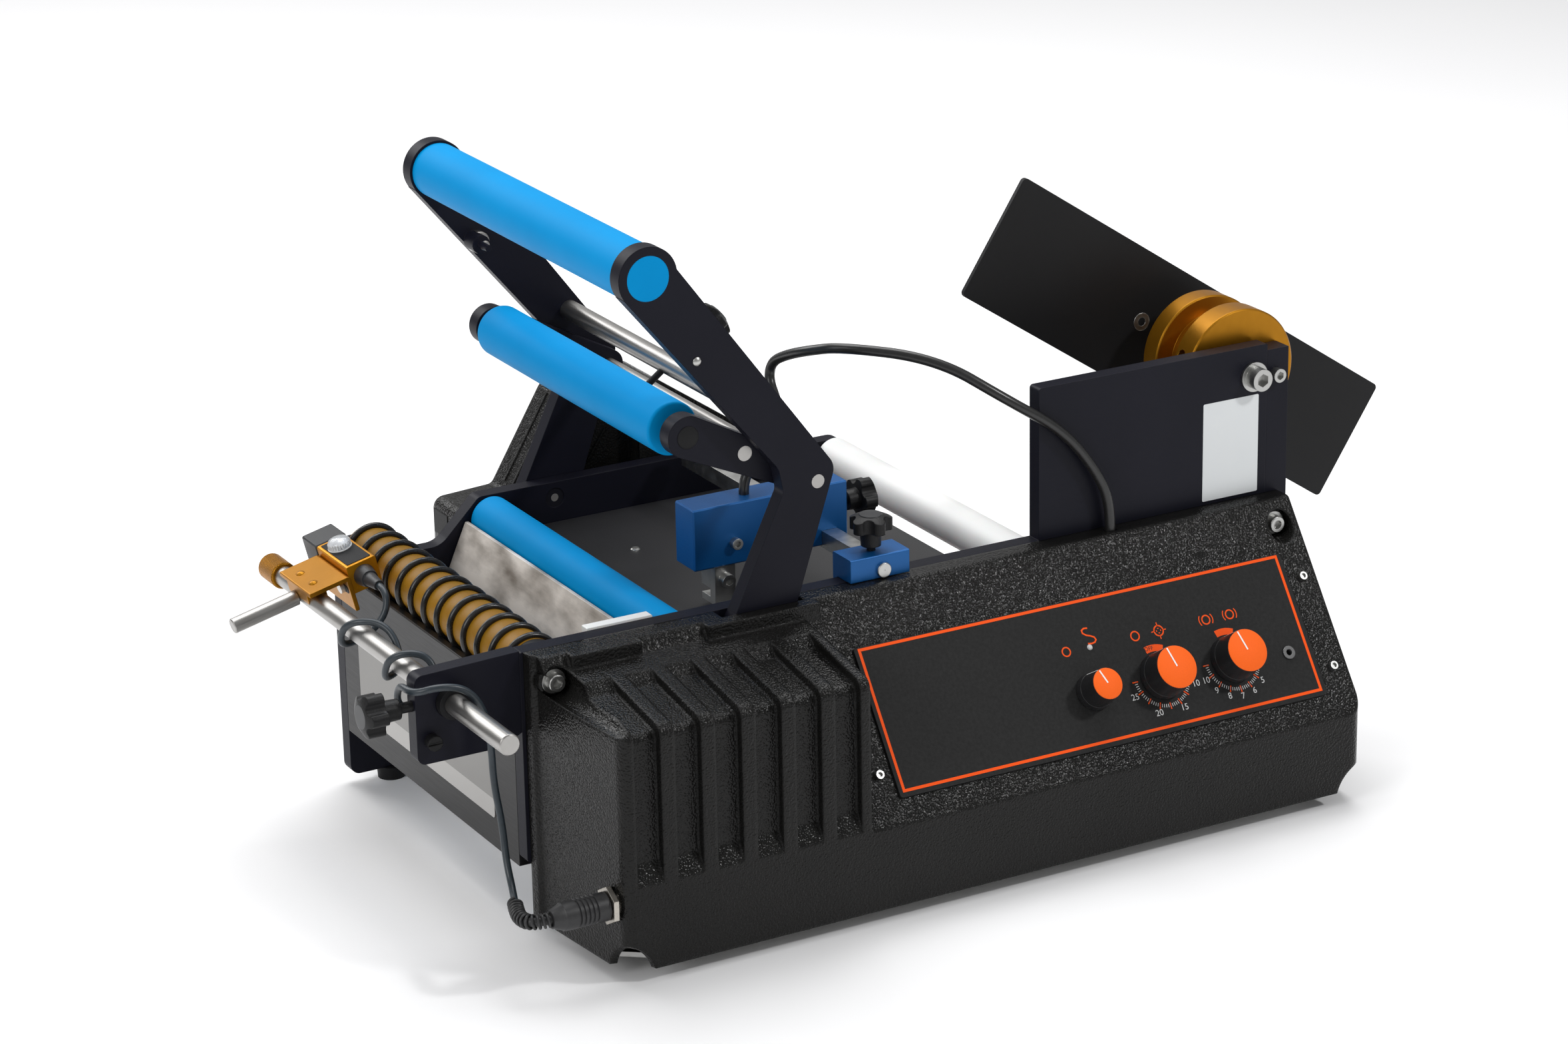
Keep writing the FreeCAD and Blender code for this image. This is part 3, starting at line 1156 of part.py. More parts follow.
def sensor_end_caps():
    """Lens head at the left end, cable gland at the right end, and the dial under its dome."""
    head = box(SENSOR_X - 20.5, SENSOR_X, ROD_Y + 18.8, ROD_Y + 38.5, ROD_Z - 2.5, ROD_Z + 15.5)
    head = head.makeChamfer(0.8, [e for e in head.Edges])
    gland_y = ROD_Y + 28.6
    gland_z = ROD_Z + 6.5
    gland_x = SENSOR_X + SENSOR_L
    gland = fuse(Part.makeCone(6.5, 5.0, 8.0, V(gland_x, gland_y, gland_z), V(1, 0, 0)),
                 Part.makeCone(4.2, 3.0, 12.5, V(gland_x + 8.0, gland_y, gland_z), V(1, 0, 0)))
    dome_x = SENSOR_X + 13.5
    dome = Part.makeSphere(7.0, V(dome_x, gland_y, ROD_Z + 13.0))
    dome = dome.common(box(dome_x - 9, dome_x + 9, gland_y - 9, gland_y + 9, ROD_Z + 15.0, ROD_Z + 40))
    return [clocked(head), clocked(gland), clocked(dome)]


save("sensor_rod", sensor_rod())
save("sensor_bracket", sensor_bracket())
save("bottle_sensor", *bottle_sensor())
save("sensor_end_caps", *sensor_end_caps())
end_knob = rod_x(6.5, ROD_LEFT - 20.0, ROD_LEFT, ROD_Y, ROD_Z)
save("rod_end_knob", end_knob.makeChamfer(0.8, [e for e in end_knob.Edges if e.Length > 30.0]))


# ------------------------------------------------------------------ cables
EXIT = clocked(Part.Vertex(V(SENSOR_X + SENSOR_L + 20.5, ROD_Y + 28.6, ROD_Z + 6.5))).Point

WRAP = 10.0        # half the side of the square that the cable's turns round the rod are drawn on
CABLE_SPLIT = (OUT - 4.0, BRACKET_FRONT - 3.5, ROD_Z + 11.0)


def beyond(points, reach):
    """Point past the end of a route, in line with its last run."""
    a = V(*points[-2])
    b = V(*points[-1])
    p = b + (b - a).normalize() * reach
    return (p.x, p.y, p.z)


sensor_cable_upper = [
    (EXIT.x, EXIT.y, EXIT.z),
    (EXIT.x + 8.5, EXIT.y, EXIT.z),
    (EXIT.x + 15.0, -17.0, ROD_Z + 3.0),
    (EXIT.x + 14.5, -28.0, ROD_Z - 9.0),
    (EXIT.x + 22.5, ROD_Y - WRAP, ROD_Z - WRAP),
    (EXIT.x + 33.5, ROD_Y - WRAP, ROD_Z + WRAP),
    (EXIT.x + 48.5, ROD_Y + WRAP, ROD_Z + WRAP),
    (EXIT.x + 66.5, ROD_Y + WRAP, ROD_Z - WRAP),
    (OUT - 68.0, ROD_Y - WRAP, ROD_Z - WRAP),
    (OUT - 56.5, ROD_Y - WRAP, ROD_Z + WRAP),
    (OUT - 47.0, ROD_Y + WRAP, ROD_Z + WRAP),
    (OUT - 37.0, ROD_Y + WRAP, ROD_Z - WRAP),
    (OUT - 26.0, -50.0, ROD_Z - 12.0),
    (OUT - 19.0, -64.5, ROD_Z - 4.0),
    (OUT - 13.0, CABLE_SPLIT[1], CABLE_SPLIT[2]),
    CABLE_SPLIT,
]
sensor_cable_lower = [
    CABLE_SPLIT,
    beyond(sensor_cable_upper, 9.5),
    (OUT + 12.0, -53.0, 162.0),
    (OUT + 13.5, -38.0, 158.5),
    (OUT + 14.0, -28.5, 145.0),
    (OUT + 14.5, -25.5, 125.0),
    (OUT + 17.5, -26.5, 103.0),
    (PLUG_X - 55.0, -25.0, 81.0),
    (PLUG_X - 47.5, -27.0, 62.0),
    (PLUG_X - 38.0, -28.5, 50.0),
    (PLUG_X - 27.0, -32.5, PLUG_Z + 1.0),
]
foot_x = BLOCK_X + BLOCK_W / 2.0
label_cable_lower = [
    (foot_x, 175.0, BLOCK_TOP),
    (foot_x, 175.0, BLOCK_TOP + 10.0),
    (foot_x - 1.5, 185.0, BLOCK_TOP + 16.5),
    (foot_x - 7.0, 202.0, BLOCK_TOP + 21.0),
    (foot_x - 21.0, 213.0, BLOCK_TOP + 29.0),
    (foot_x - 37.0, 217.0, BLOCK_TOP + 39.0),
    (foot_x - 46.5, 218.0, BLOCK_TOP + 48.0),
    (foot_x - 45.0, 219.5, BLOCK_TOP + 58.5),
    (foot_x - 28.0, 220.0, BLOCK_TOP + 67.0),
    (foot_x - 6.0, 222.0, BLOCK_TOP + 75.0),
    (foot_x + 15.0, 231.0, BLOCK_TOP + 81.0),
    (foot_x + 29.0, 252.0, BLOCK_TOP + 78.0),
]
label_cable_upper = [
    label_cable_lower[-1],
    beyond(label_cable_lower, 28.0),
    (OUT + 2.5, TOWER_Y - 22.0, 254.5),
    (OUT + 4.5, TOWER_Y + 13.5, 231.0),
    (OUT + 5.5, TOWER_Y + 36.0, 202.0),
    (CABLE_HOLE[0] + 0.5, CABLE_HOLE[1] + 0.5, PLATE_TOP + 14.0),
    (CABLE_HOLE[0], CABLE_HOLE[1], PLATE_TOP - 6.0),
]
save("sensor_cable_upper", cord("sensor cable, upper", sensor_cable_upper, THIN_CABLE_R))
save("sensor_cable_lower", cord("sensor cable, lower", sensor_cable_lower, THIN_CABLE_R))
save("label_cable_lower", cord("label cable, lower", label_cable_lower, THICK_CABLE_R))
save("label_cable_upper", cord("label cable, upper", label_cable_upper, THICK_CABLE_R))


def cable_plug():
    """Round plug with a coiled strain relief that turns towards the cable."""
    back = cover_nose(PLUG_X) - 4.2
    barrel = rod_y(PLUG_R, back - 27.0, back, PLUG_X, PLUG_Z)
    shoulder = Part.makeCone(5.0, PLUG_R, 6.0, V(PLUG_X, back - 33.0, PLUG_Z), V(0, 1, 0))
    relief = cord("strain relief", [sensor_cable_lower[-1], beyond(sensor_cable_lower, 8.0),
                                    (PLUG_X - 10.0, -37.0, 45.0), (PLUG_X - 1.5, -34.0, 45.5),
                                    (PLUG_X, back - 32.5, PLUG_Z)], 4.2)
    return fuse(fuse(barrel, shoulder), relief)


save("cable_plug", cable_plug())
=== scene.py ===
import math

import bmesh
import bpy
from mathutils import Matrix, Vector


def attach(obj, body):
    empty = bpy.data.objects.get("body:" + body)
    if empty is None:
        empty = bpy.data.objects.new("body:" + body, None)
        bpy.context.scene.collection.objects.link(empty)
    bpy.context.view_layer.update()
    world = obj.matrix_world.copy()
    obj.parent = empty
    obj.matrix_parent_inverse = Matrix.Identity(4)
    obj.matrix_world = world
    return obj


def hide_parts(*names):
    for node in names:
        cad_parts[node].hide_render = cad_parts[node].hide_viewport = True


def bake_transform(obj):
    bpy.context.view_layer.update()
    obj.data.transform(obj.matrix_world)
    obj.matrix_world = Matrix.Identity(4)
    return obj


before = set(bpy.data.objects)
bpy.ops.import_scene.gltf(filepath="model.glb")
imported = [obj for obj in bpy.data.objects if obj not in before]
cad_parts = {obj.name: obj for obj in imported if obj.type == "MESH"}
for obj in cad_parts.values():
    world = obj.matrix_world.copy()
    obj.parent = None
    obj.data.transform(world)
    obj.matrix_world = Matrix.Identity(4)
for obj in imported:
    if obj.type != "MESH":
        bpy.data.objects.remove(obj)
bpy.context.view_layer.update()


# ---------------------------------------------------------------- camera
# A long lens looks down on the front right corner, from the side with the control panel, and is
# rolled by a degree.
def mm(x, y, z):
    """Point of the machine's own axes, in millimetres, as a point of the frame in metres."""
    return Vector((x - 22.5, y - 266.911, z)) / 1000.0


heading, fall, roll = math.radians(61.024), math.radians(19.767), math.radians(-1.119)
back = Vector((math.sin(heading) * math.cos(fall), -math.cos(heading) * math.cos(fall), math.sin(fall)))
level = Vector((math.cos(heading), math.sin(heading), 0.0))
rise = back.cross(level)
across = level * math.cos(roll) + rise * math.sin(roll)
upward = rise * math.cos(roll) - level * math.sin(roll)
camera_place = mm(2097.3, -928.2, 1019.4)
camera_data = bpy.data.cameras.new("camera")
camera_data.lens = 99.99
camera_data.sensor_width = 36.0
camera = bpy.data.objects.new("camera", camera_data)
camera.matrix_world = Matrix.Translation(camera_place) @ Matrix((across, upward, back)).transposed().to_4x4()
bpy.context.scene.collection.objects.link(camera)
bpy.context.scene.camera = camera


# ---------------------------------------------------------------- floor, backdrop and light
# Sweep of white paper under three large softboxes and a small one, in a room that is white all
# round. The paper keeps a soft shadow. Its surface, like every other, is a tree of shader nodes.
class Shade:
    """A value in a surface's node tree. Sums make Math nodes, and node() adds any other node."""

    def __init__(self, tree, socket=None):
        self.tree = tree
        self.socket = socket

    def node(self, kind, settings=None, inputs=None, out=0):
        """Any node: its type, its settings, and the value or link of each socket that is given."""
        made = self.tree.nodes.new("ShaderNode" + kind)
        for key, value in (settings or {}).items():
            setattr(made, key, value)
        for key, value in (inputs or {}).items():
            if isinstance(value, Shade):
                self.tree.links.new(value.socket, made.inputs[key])
            else:
                made.inputs[key].default_value = value
        return Shade(self.tree, made.outputs[out])

    def maths(self, operation, *others):
        """Math node on this value and the others after it."""
        return self.node("Math", {"operation": operation}, dict(enumerate((self, *others))))

    def __add__(self, other):
        return self.maths("ADD", other)

    def __sub__(self, other):
        return self.maths("SUBTRACT", other)

    def __mul__(self, other):
        return self.maths("MULTIPLY", other)

    def __rsub__(self, other):
        return self.node("Math", {"operation": "SUBTRACT"}, {0: other, 1: self})

    __radd__ = __add__
    __rmul__ = __mul__

    def along(self, axis):
        """How far this place lies along X, Y or Z, in metres."""
        return self.node("SeparateXYZ", None, {0: self}, out="XYZ".index(axis))

    def blend_to(self, low, high):
        """Colour that goes from low to high as this value goes from 0 to 1."""
        return self.node("Mix", {"data_type": "RGBA"}, {0: self, 6: low, 7: high}, out=2)

    def noise(self, scale, detail=2.0, stretch=None):
        """Noise on this place. Stretch gives the scale's share along each axis."""
        place = self
        if stretch:
            place = self.node("VectorMath", {"operation": "MULTIPLY"}, {0: self, 1: stretch})
        return place.node("TexNoise", None, {"Vector": place, "Scale": scale, "Detail": detail})

    def bump(self, distance, strength=1.0, edge=0.0):
        """Normal raised by this value over distance, with edges eased to the radius edge."""
        given = {"Height": self, "Distance": distance, "Strength": strength}
        if edge:
            given["Normal"] = self.node("Bevel", {"samples": 6}, {"Radius": edge})
        return self.node("Bump", None, given)


def surface(name, paint, **fixed):
    """Material whose shader takes fixed values as they are, and what paint(place) returns."""
    material = bpy.data.materials.new(name)
    material.use_nodes = True
    tree = material.node_tree
    tree.nodes.clear()
    place = Shade(tree).node("TexCoord", out="Object")
    inputs = {key.replace("_", " ").title().replace("Ior", "IOR"): value for key, value in fixed.items()}
    inputs.update(paint(place))
    shader = place.node("BsdfPrincipled", None, inputs)
    output = tree.nodes.new("ShaderNodeOutputMaterial")
    tree.links.new(shader.socket, output.inputs["Surface"])
    return material


def paper(place):
    return {"Base Color": place.noise(3.0).blend_to((0.90, 0.90, 0.91, 1), (0.93, 0.93, 0.935, 1))}


sweep = bmesh.new()
bmesh.ops.create_circle(sweep, cap_ends=True, segments=64, radius=9.0)
floor_data = bpy.data.meshes.new("floor")
sweep.to_mesh(floor_data)
sweep.free()
floor_data.materials.append(surface("white_paper", paper, roughness=0.9))
floor = bpy.data.objects.new("floor", floor_data)
bpy.context.scene.collection.objects.link(floor)

aim = Vector((0.0, 0.0, 0.15))
for lamp_name, spot, size, power in (("softbox_top", (-0.7, 0.3, 2.3), 1.8, 46.0),
                                     ("softbox_right", (1.35, 1.05, 1.55), 0.2, 14.0),
                                     ("softbox_front", (0.7, -2.4, 1.5), 1.2, 23.0),
                                     ("softbox_left", (-2.2, -0.7, 1.7), 1.4, 23.0)):
    lamp_data = bpy.data.lights.new(lamp_name, "AREA")
    lamp_data.shape = "SQUARE"
    lamp_data.size = size
    lamp_data.energy = power
    lamp = bpy.data.objects.new(lamp_name, lamp_data)
    turned = (Vector(spot) - aim).to_track_quat("Z", "Y").to_matrix().to_4x4()
    lamp.matrix_world = Matrix.Translation(spot) @ turned
    bpy.context.scene.collection.objects.link(lamp)

world = bpy.data.worlds.new("studio")
world.use_nodes = True
world.node_tree.nodes["Background"].inputs["Color"].default_value = (1.0, 1.0, 1.0, 1.0)
world.node_tree.nodes["Background"].inputs["Strength"].default_value = 0.36
bpy.context.scene.world = world
bpy.context.scene.view_settings.view_transform = "Standard"


# ---------------------------------------------------------------- cables
# Thin slate sensor lead and a thicker black one, both round PVC cable. Each is in two lengths that
# meet inside a straight run.
def show(name, mesh, material, body, smooth=True):
    """New object at the origin that rides on a body."""
    bmesh.ops.recalc_face_normals(mesh, faces=mesh.faces)
    data = bpy.data.meshes.new(name)
    mesh.to_mesh(data)
    mesh.free()
    data.materials.append(material)
    if smooth:
        data.shade_smooth()
        data.set_sharp_from_angle(angle=math.radians(35))
    piece = bpy.data.objects.new(name, data)
    bpy.context.scene.collection.objects.link(piece)
    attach(piece, body)
    return piece


def curve_mesh(name, points, kind="NURBS", **settings):
    """Mesh of a curve through points, with the curve's own settings."""
    curve = bpy.data.curves.new(name, "CURVE")
    curve.dimensions = "3D"
    for key, value in settings.items():
        setattr(curve, key, value)
    spline = curve.splines.new(kind)
    spline.points.add(len(points) - 1)
    for control, point in zip(spline.points, points):
        control.co = (*point, 1.0)
    spline.order_u = 3
    spline.use_endpoint_u = True
    holder = bpy.data.objects.new(name + "_line", curve)
    mesh = bpy.data.meshes.new_from_object(holder)
    bpy.data.objects.remove(holder)
    return mesh


def tube(name, points, radius):
    """Round cable along route points, closed at both ends."""
    return curve_mesh(name, points, resolution_u=10, bevel_depth=radius, bevel_resolution=5,
                      use_fill_caps=True)


def route(name, points):
    """Points along a cable's middle, read from its curve."""
    line = curve_mesh(name, points, resolution_u=10)
    return [vertex.co.copy() for vertex in line.vertices]


def run_of(path):
    return sum((b - a).length for a, b in zip(path, path[1:]))


def cable(name, points, radius, material, bodies, ends, node, **facts):
    """Round cable along the points, made once in place and not bent. The bodies and the two end points are
    not used.
    """
    path = route(name, points)
    jacket = tube(name, points, radius)
    jacket.materials.append(material)
    jacket.shade_smooth()
    piece = bpy.data.objects.new(name, jacket)
    bpy.context.scene.collection.objects.link(piece)
    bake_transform(piece)
    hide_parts(node)
    return piece


def sheath(colour, shine):
    """Extruded cable jacket: dull, with faint draw marks and dust."""
    dark, light = [(*[c * share for c in colour], 1) for share in (0.7, 1.5)]

    def paint(place):
        marks = place.noise(420.0, 3.0)
        dust = place.noise(60.0, 4.0)
        return {"Base Color": marks.blend_to(dark, light),
                "Roughness": shine + 0.18 * dust,
                "Normal": marks.bump(0.00006, 0.5)}
    return paint


sensor_cable, label_cable = 0.002, 0.003
tilt = math.radians(13.5)
rod_y, rod_z, wrap = -41.0, 147.0, 10.0


def clocked(x, y, z):
    """Point of the bottle sensor, turned about the rod from the level to its working angle."""
    dy, dz = y - rod_y, z - rod_z
    return mm(x, rod_y + dy * math.cos(tilt) - dz * math.sin(tilt),
              rod_z + dy * math.sin(tilt) + dz * math.cos(tilt))


slate_pvc = surface("slate_pvc", sheath((0.018, 0.026, 0.033), 0.28))
black_pvc = surface("black_pvc", sheath((0.012, 0.012, 0.012), 0.22))
gland = clocked(-24.5, rod_y + 28.6, rod_z + 6.5)
sensor_upper = [gland, gland + Vector((0.0085, 0.0, 0.0))] + [mm(*p) for p in (
    (-9.5, -17.0, rod_z + 3.0), (-10.0, -28.0, rod_z - 9.0),
    (-2.0, rod_y - wrap, rod_z - wrap), (9.0, rod_y - wrap, rod_z + wrap),
    (24.0, rod_y + wrap, rod_z + wrap), (42.0, rod_y + wrap, rod_z - wrap),
    (57.0, rod_y - wrap, rod_z - wrap), (68.5, rod_y - wrap, rod_z + wrap),
    (78.0, rod_y + wrap, rod_z + wrap), (88.0, rod_y + wrap, rod_z - wrap),
    (99.0, -50.0, rod_z - 12.0), (106.0, -64.5, rod_z - 4.0),
    (112.0, -65.5, rod_z + 11.0), (121.0, -65.5, rod_z + 11.0))]
sensor_lower = [mm(*p) for p in (
    (121.0, -65.5, 158.0), (130.5, -65.5, 158.0), (137.0, -53.0, 162.0), (138.5, -38.0, 158.5),
    (139.0, -28.5, 145.0), (139.5, -25.5, 125.0), (142.5, -26.5, 103.0), (148.0, -25.0, 81.0),
    (155.5, -27.0, 62.0), (165.0, -28.5, 50.0), (176.0, -32.5, 47.0))]
label_lower = [mm(*p) for p in (
    (59.0, 175.0, 204.0), (59.0, 175.0, 214.0), (57.5, 185.0, 220.5), (52.0, 202.0, 225.0),
    (38.0, 213.0, 233.0), (22.0, 217.0, 243.0), (12.5, 218.0, 252.0), (14.0, 219.5, 262.5),
    (31.0, 220.0, 271.0), (53.0, 222.0, 279.0), (74.0, 231.0, 285.0), (88.0, 252.0, 282.0))]
last_run = (label_lower[-1] - label_lower[-2]).normalized()
label_upper = [label_lower[-1], label_lower[-1] + last_run * 0.028] + [mm(*p) for p in (
    (127.5, 308.0, 254.5), (129.5, 343.5, 231.0), (130.5, 366.0, 202.0),
    (131.5, 375.0, 180.0), (131.0, 374.5, 160.0))]
cable("sensor_lead_upper", sensor_upper, sensor_cable, slate_pvc, ("bottle_sensor_rod", "collar"),
      (sensor_upper[2], sensor_upper[-1]), "sensor_cable_upper", far_end="object", stiffness="medium",
      lay="loose")
cable("label_lead_lower", label_lower, label_cable, black_pvc, ("label_sensor", "bar_slide"),
      (label_lower[0], label_lower[-1]), "label_cable_lower", far_end="object", stiffness="medium",
      lay="loose")
cable("label_lead_upper", label_upper, label_cable, black_pvc, ("bar_slide", "machine_frame"),
      (label_upper[0], label_upper[-1]), "label_cable_upper", far_end="object", stiffness="medium",
      lay="loose")


# ---------------------------------------------------------------- plug and its coiled relief
# Moulded round plug with grip rings, screwed into the nose of the cover. A coil of the plug's own
# rubber keeps the lead from kinking.
def lathe(outline, base, axis, steps=48, mesh=None):
    """Turned shape, on its own or added to a mesh. The outline is a list of pairs in millimetres:
    the distance along the axis and the radius there."""
    mesh = mesh or bmesh.new()
    axis = Vector(axis).normalized()
    side = axis.orthogonal().normalized()
    ring = [mesh.verts.new(base + axis * (a / 1000.0) + side * (r / 1000.0)) for a, r in outline]
    edges = [mesh.edges.new(pair) for pair in zip(ring, ring[1:])]
    bmesh.ops.spin(mesh, geom=ring + edges, cent=base, axis=axis, angle=2 * math.pi, steps=steps,
                   use_merge=True)
    bmesh.ops.remove_doubles(mesh, verts=mesh.verts, dist=0.000002)
    return mesh


def wound(line, turns, radius, parts=12):
    """Points of a coil round a line, with as many parts to each stretch of the line."""
    coil = []
    gone = 0.0
    lean = Vector((0, 0, 1))
    for a, b in zip(line, line[1:]):
        ahead = (b - a).normalized()
        lean = (lean - ahead * lean.dot(ahead)).normalized()
        aside = ahead.cross(lean)
        for k in range(parts):
            turn = 2 * math.pi * turns * (gone + (b - a).length * k / parts) / run_of(line)
            coil.append(a.lerp(b, k / parts) + (lean * math.cos(turn) + aside * math.sin(turn)) * radius)
        gone += (b - a).length
    return coil


def soft_rubber(place):
    grain = place.noise(900.0, 3.0)
    return {"Base Color": grain.blend_to((0.012, 0.012, 0.013, 1), (0.026, 0.026, 0.027, 1)),
            "Roughness": 0.36 + 0.2 * grain,
            "Normal": grain.bump(0.00008, 0.6)}


black_rubber = surface("black_rubber", soft_rubber)
plug_x, plug_z = 203.0, 46.0
nose_face = 2.0 + 12.0 * (plug_x - 125.0) / 90.0
plug_back = nose_face - 4.2
plug_outline = [(0.0, 0.0), (0.0, 7.2), (0.6, 8.0), (6.0, 8.0)]
for k in range(5):
    groove = 7.5 + 2.6 * k
    plug_outline += [(groove, 8.0), (groove + 0.4, 7.2), (groove + 1.1, 7.2), (groove + 1.5, 8.0)]
plug_outline += [(21.5, 8.0), (26.5, 7.7), (27.0, 7.2), (33.0, 5.0), (33.0, 0.0)]
plug_mesh = lathe(plug_outline, mm(plug_x, plug_back, plug_z), (0, -1, 0))
relief_points = [sensor_lower[-1],
                 sensor_lower[-1] + (sensor_lower[-1] - sensor_lower[-2]).normalized() * 0.008,
                 mm(193.0, -37.0, 45.0), mm(201.5, -34.0, 45.5), mm(plug_x, plug_back - 32.5, plug_z)]
plug_mesh.from_mesh(curve_mesh("coil", wound(route("relief", relief_points), 14, 0.0036), "POLY",
                               bevel_depth=0.0008, bevel_resolution=2))
plug_mesh.from_mesh(tube("relief_core", relief_points, 0.0026))
plug = show("sensor_plug", plug_mesh, black_rubber, "machine_frame")
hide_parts("cable_plug")
cable("sensor_lead_lower", sensor_lower, sensor_cable, slate_pvc, ("collar", "machine_frame"),
      (sensor_lower[0], sensor_lower[5]), "sensor_cable_lower", far_end="plug", stiffness="medium",
      lay="loose", with_pieces=[plug])


# ---------------------------------------------------------------- plates, arms and brackets
# Cut aluminium plate, black anodised with a trace of navy, edges just broken. The anodising is
# satin, with the fine draw marks of rolled plate under it.
def dress(material, *nodes):
    """Give CAD nodes a material through their objects' own slots."""
    for name in nodes:
        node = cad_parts[name]
        if not node.material_slots:
            node.data.materials.append(material)
        for holder in node.material_slots:
            holder.material = material


def anodised(place):
    grain = place.noise(1400.0, 2.0, (1.0, 0.25, 1.0))
    cloud = place.noise(18.0, 3.0)
    return {"Base Color": cloud.blend_to((0.0055, 0.0058, 0.0105, 1), (0.0105, 0.0105, 0.0175, 1)),
            "Roughness": 0.36 + 0.14 * grain,
            "Normal": grain.bump(0.00003, 0.5, edge=0.0007)}


black_anodised = surface("black_anodised", anodised, specular_ior_level=0.13)
dress(black_anodised, "left_side_plate", "right_side_plate", "rear_post", "left_arm", "right_arm",
      "yoke_links", "rod_bracket")


# ---------------------------------------------------------------- motor, belt, feet and collar
# Cast motor that hangs inside the left cover, its rubber belt, four rubber feet, and the turned
# collar that holds the bottle sensor's rod. All are matt black.
def matt_paint(place):
    grain = place.noise(1200.0, 3.0)
    cloud = place.noise(12.0, 3.0)
    return {"Base Color": cloud.blend_to((0.007, 0.007, 0.0075, 1), (0.013, 0.013, 0.014, 1)),
            "Roughness": 0.42 + 0.16 * grain,
            "Normal": grain.bump(0.00004, 0.6, edge=0.0006)}


matt_black = surface("matt_black", matt_paint, specular_ior_level=0.18)
dress(matt_black, "drive_motor", "rod_collar", "rubber_feet", "drive_belt")


# ---------------------------------------------------------------- plated and plain steel
# Ties, base plate, shafts, rods and the sensor's square bar. Bright steel is drawn and polished, so
# its marks run along X, and zinc has a soft mottled bloom.
def drawn_steel(place):
    draw = place.noise(2600.0, 2.0, (0.02, 1.0, 1.0))
    stain = place.noise(45.0, 4.0)
    return {"Base Color": stain.blend_to((0.32, 0.31, 0.295, 1), (0.47, 0.46, 0.445, 1)),
            "Roughness": 0.26 + 0.18 * draw,
            "Normal": draw.bump(0.00002, 0.4, edge=0.0004)}


def zinc_plate(place):
    bloom = place.noise(160.0, 4.0)
    return {"Base Color": bloom.blend_to((0.42, 0.42, 0.405, 1), (0.60, 0.60, 0.585, 1)),
            "Roughness": 0.24 + 0.2 * bloom,
            "Normal": bloom.bump(0.00005, 0.4, edge=0.0004)}


bright_steel = surface("bright_steel", drawn_steel, metallic=1.0)
zinc = surface("zinc", zinc_plate, metallic=1.0)
dress(bright_steel, "arm_rods", "yoke_rods", "sensor_rod", "reel_shaft", "arm_return_spring")
dress(zinc, "cross_ties", "cover_base_plate", "motor_pulley", "sensor_bar", "label_fork")


# ---------------------------------------------------------------- covers
# Two vacuum-formed covers in black plastic with a pebbled face, screwed to the side plates. The
# forming leaves every corner round, and the high spots catch the light as small sparks. The left
# cover's hump has ribbed walls, and the right cover's screws sit in shallow round pits.
def pebbled(place):
    cells = place.node("TexVoronoi", {"feature": "SMOOTH_F1"},
                       {"Vector": place, "Scale": 800.0, "Smoothness": 0.5})
    grain = place.noise(1400.0, 2.0)
    drift = place.noise(25.0, 3.0)
    height = 1.0 - cells + 0.35 * grain
    return {"Base Color": drift.blend_to((0.0055, 0.0053, 0.0050, 1), (0.0105, 0.0102, 0.0096, 1)),
            "Roughness": 0.06 + 0.11 * grain,
            "Normal": height.bump(0.00042, 0.9, edge=0.0028)}


textured_black = surface("textured_black", pebbled, specular_ior_level=0.19)
dress(textured_black, "right_cover", "left_cover")


def slab(points, x0, x1, mesh=None):
    """Flat piece between two values of X, with its outline given as (y, z) points."""
    mesh = mesh or bmesh.new()
    face = mesh.faces.new([mesh.verts.new(mm(x0, y, z)) for y, z in points])
    grown = bmesh.ops.extrude_face_region(mesh, geom=[face])["geom"]
    bmesh.ops.translate(mesh, verts=[v for v in grown if isinstance(v, bmesh.types.BMVert)],
                        vec=mm(x1, 0, 0) - mm(x0, 0, 0))
    return mesh


def strip(a, b, width, x0, x1, mesh):
    """Straight rib between two values of X, along the line from a to b in (y, z)."""
    a, b = Vector(a), Vector(b)
    off = Vector((a.y - b.y, b.x - a.x)).normalized() * width / 2.0
    slab([a + off, b + off, b - off, a - off], x0, x1, mesh)


hump = slab([(114, 140), (114, 149.5), (125.6, 150.3), (126.5, 151.1), (163.0, 211.2), (203.6, 212.7),
             (203.6, 140)], -137.2, -136.6)
slab([(203, 140), (203, 212.7), (215.5, 213.1), (286.3, 164.3), (298.2, 158.7), (298.2, 140)],
     -126.2, -125.6, hump)
slab([(203.1, 140), (203.1, 212.7), (203.7, 212.7), (203.7, 140)], -137.2, -125.6, hump)
strip((163.3, 165.8), (180.2, 192.7), 1.3, -136.6, -136.0, hump)
strip((173.9, 166.8), (186.3, 185.6), 1.3, -136.6, -136.0, hump)
for x in (-157.8, -146.8):
    strip((128.2, 156.9), (158.8, 207.3), 1.6, x, x + 1.6, hump)
show("left_cover_hump", hump, textured_black, "machine_frame", smooth=False)
screw_places = [mm(131.0, y, 152.0) for y in (13.0, 483.0)]
pits = bmesh.new()
for screw_place in screw_places:
    lathe([(0.0, 4.5), (0.0, 8.5), (7.6, 8.5), (8.0, 8.2), (8.0, 4.5), (0.0, 4.5)], screw_place,
          (1, 0, 0), mesh=pits)
show("screw_pits", pits, textured_black, "machine_frame")


# ---------------------------------------------------------------- pivot pins, screws and ends
# Arm pins with a bright centre in a blackened head, zinc-plated screws in the frame and the covers,
# and the small turned parts on the arms: a domed screw, a standoff, and a disc on the link's end.
pivot = mm(0.0, 141.0, 156.0)
plate_front = mm(0.0, -20.0, 0.0)


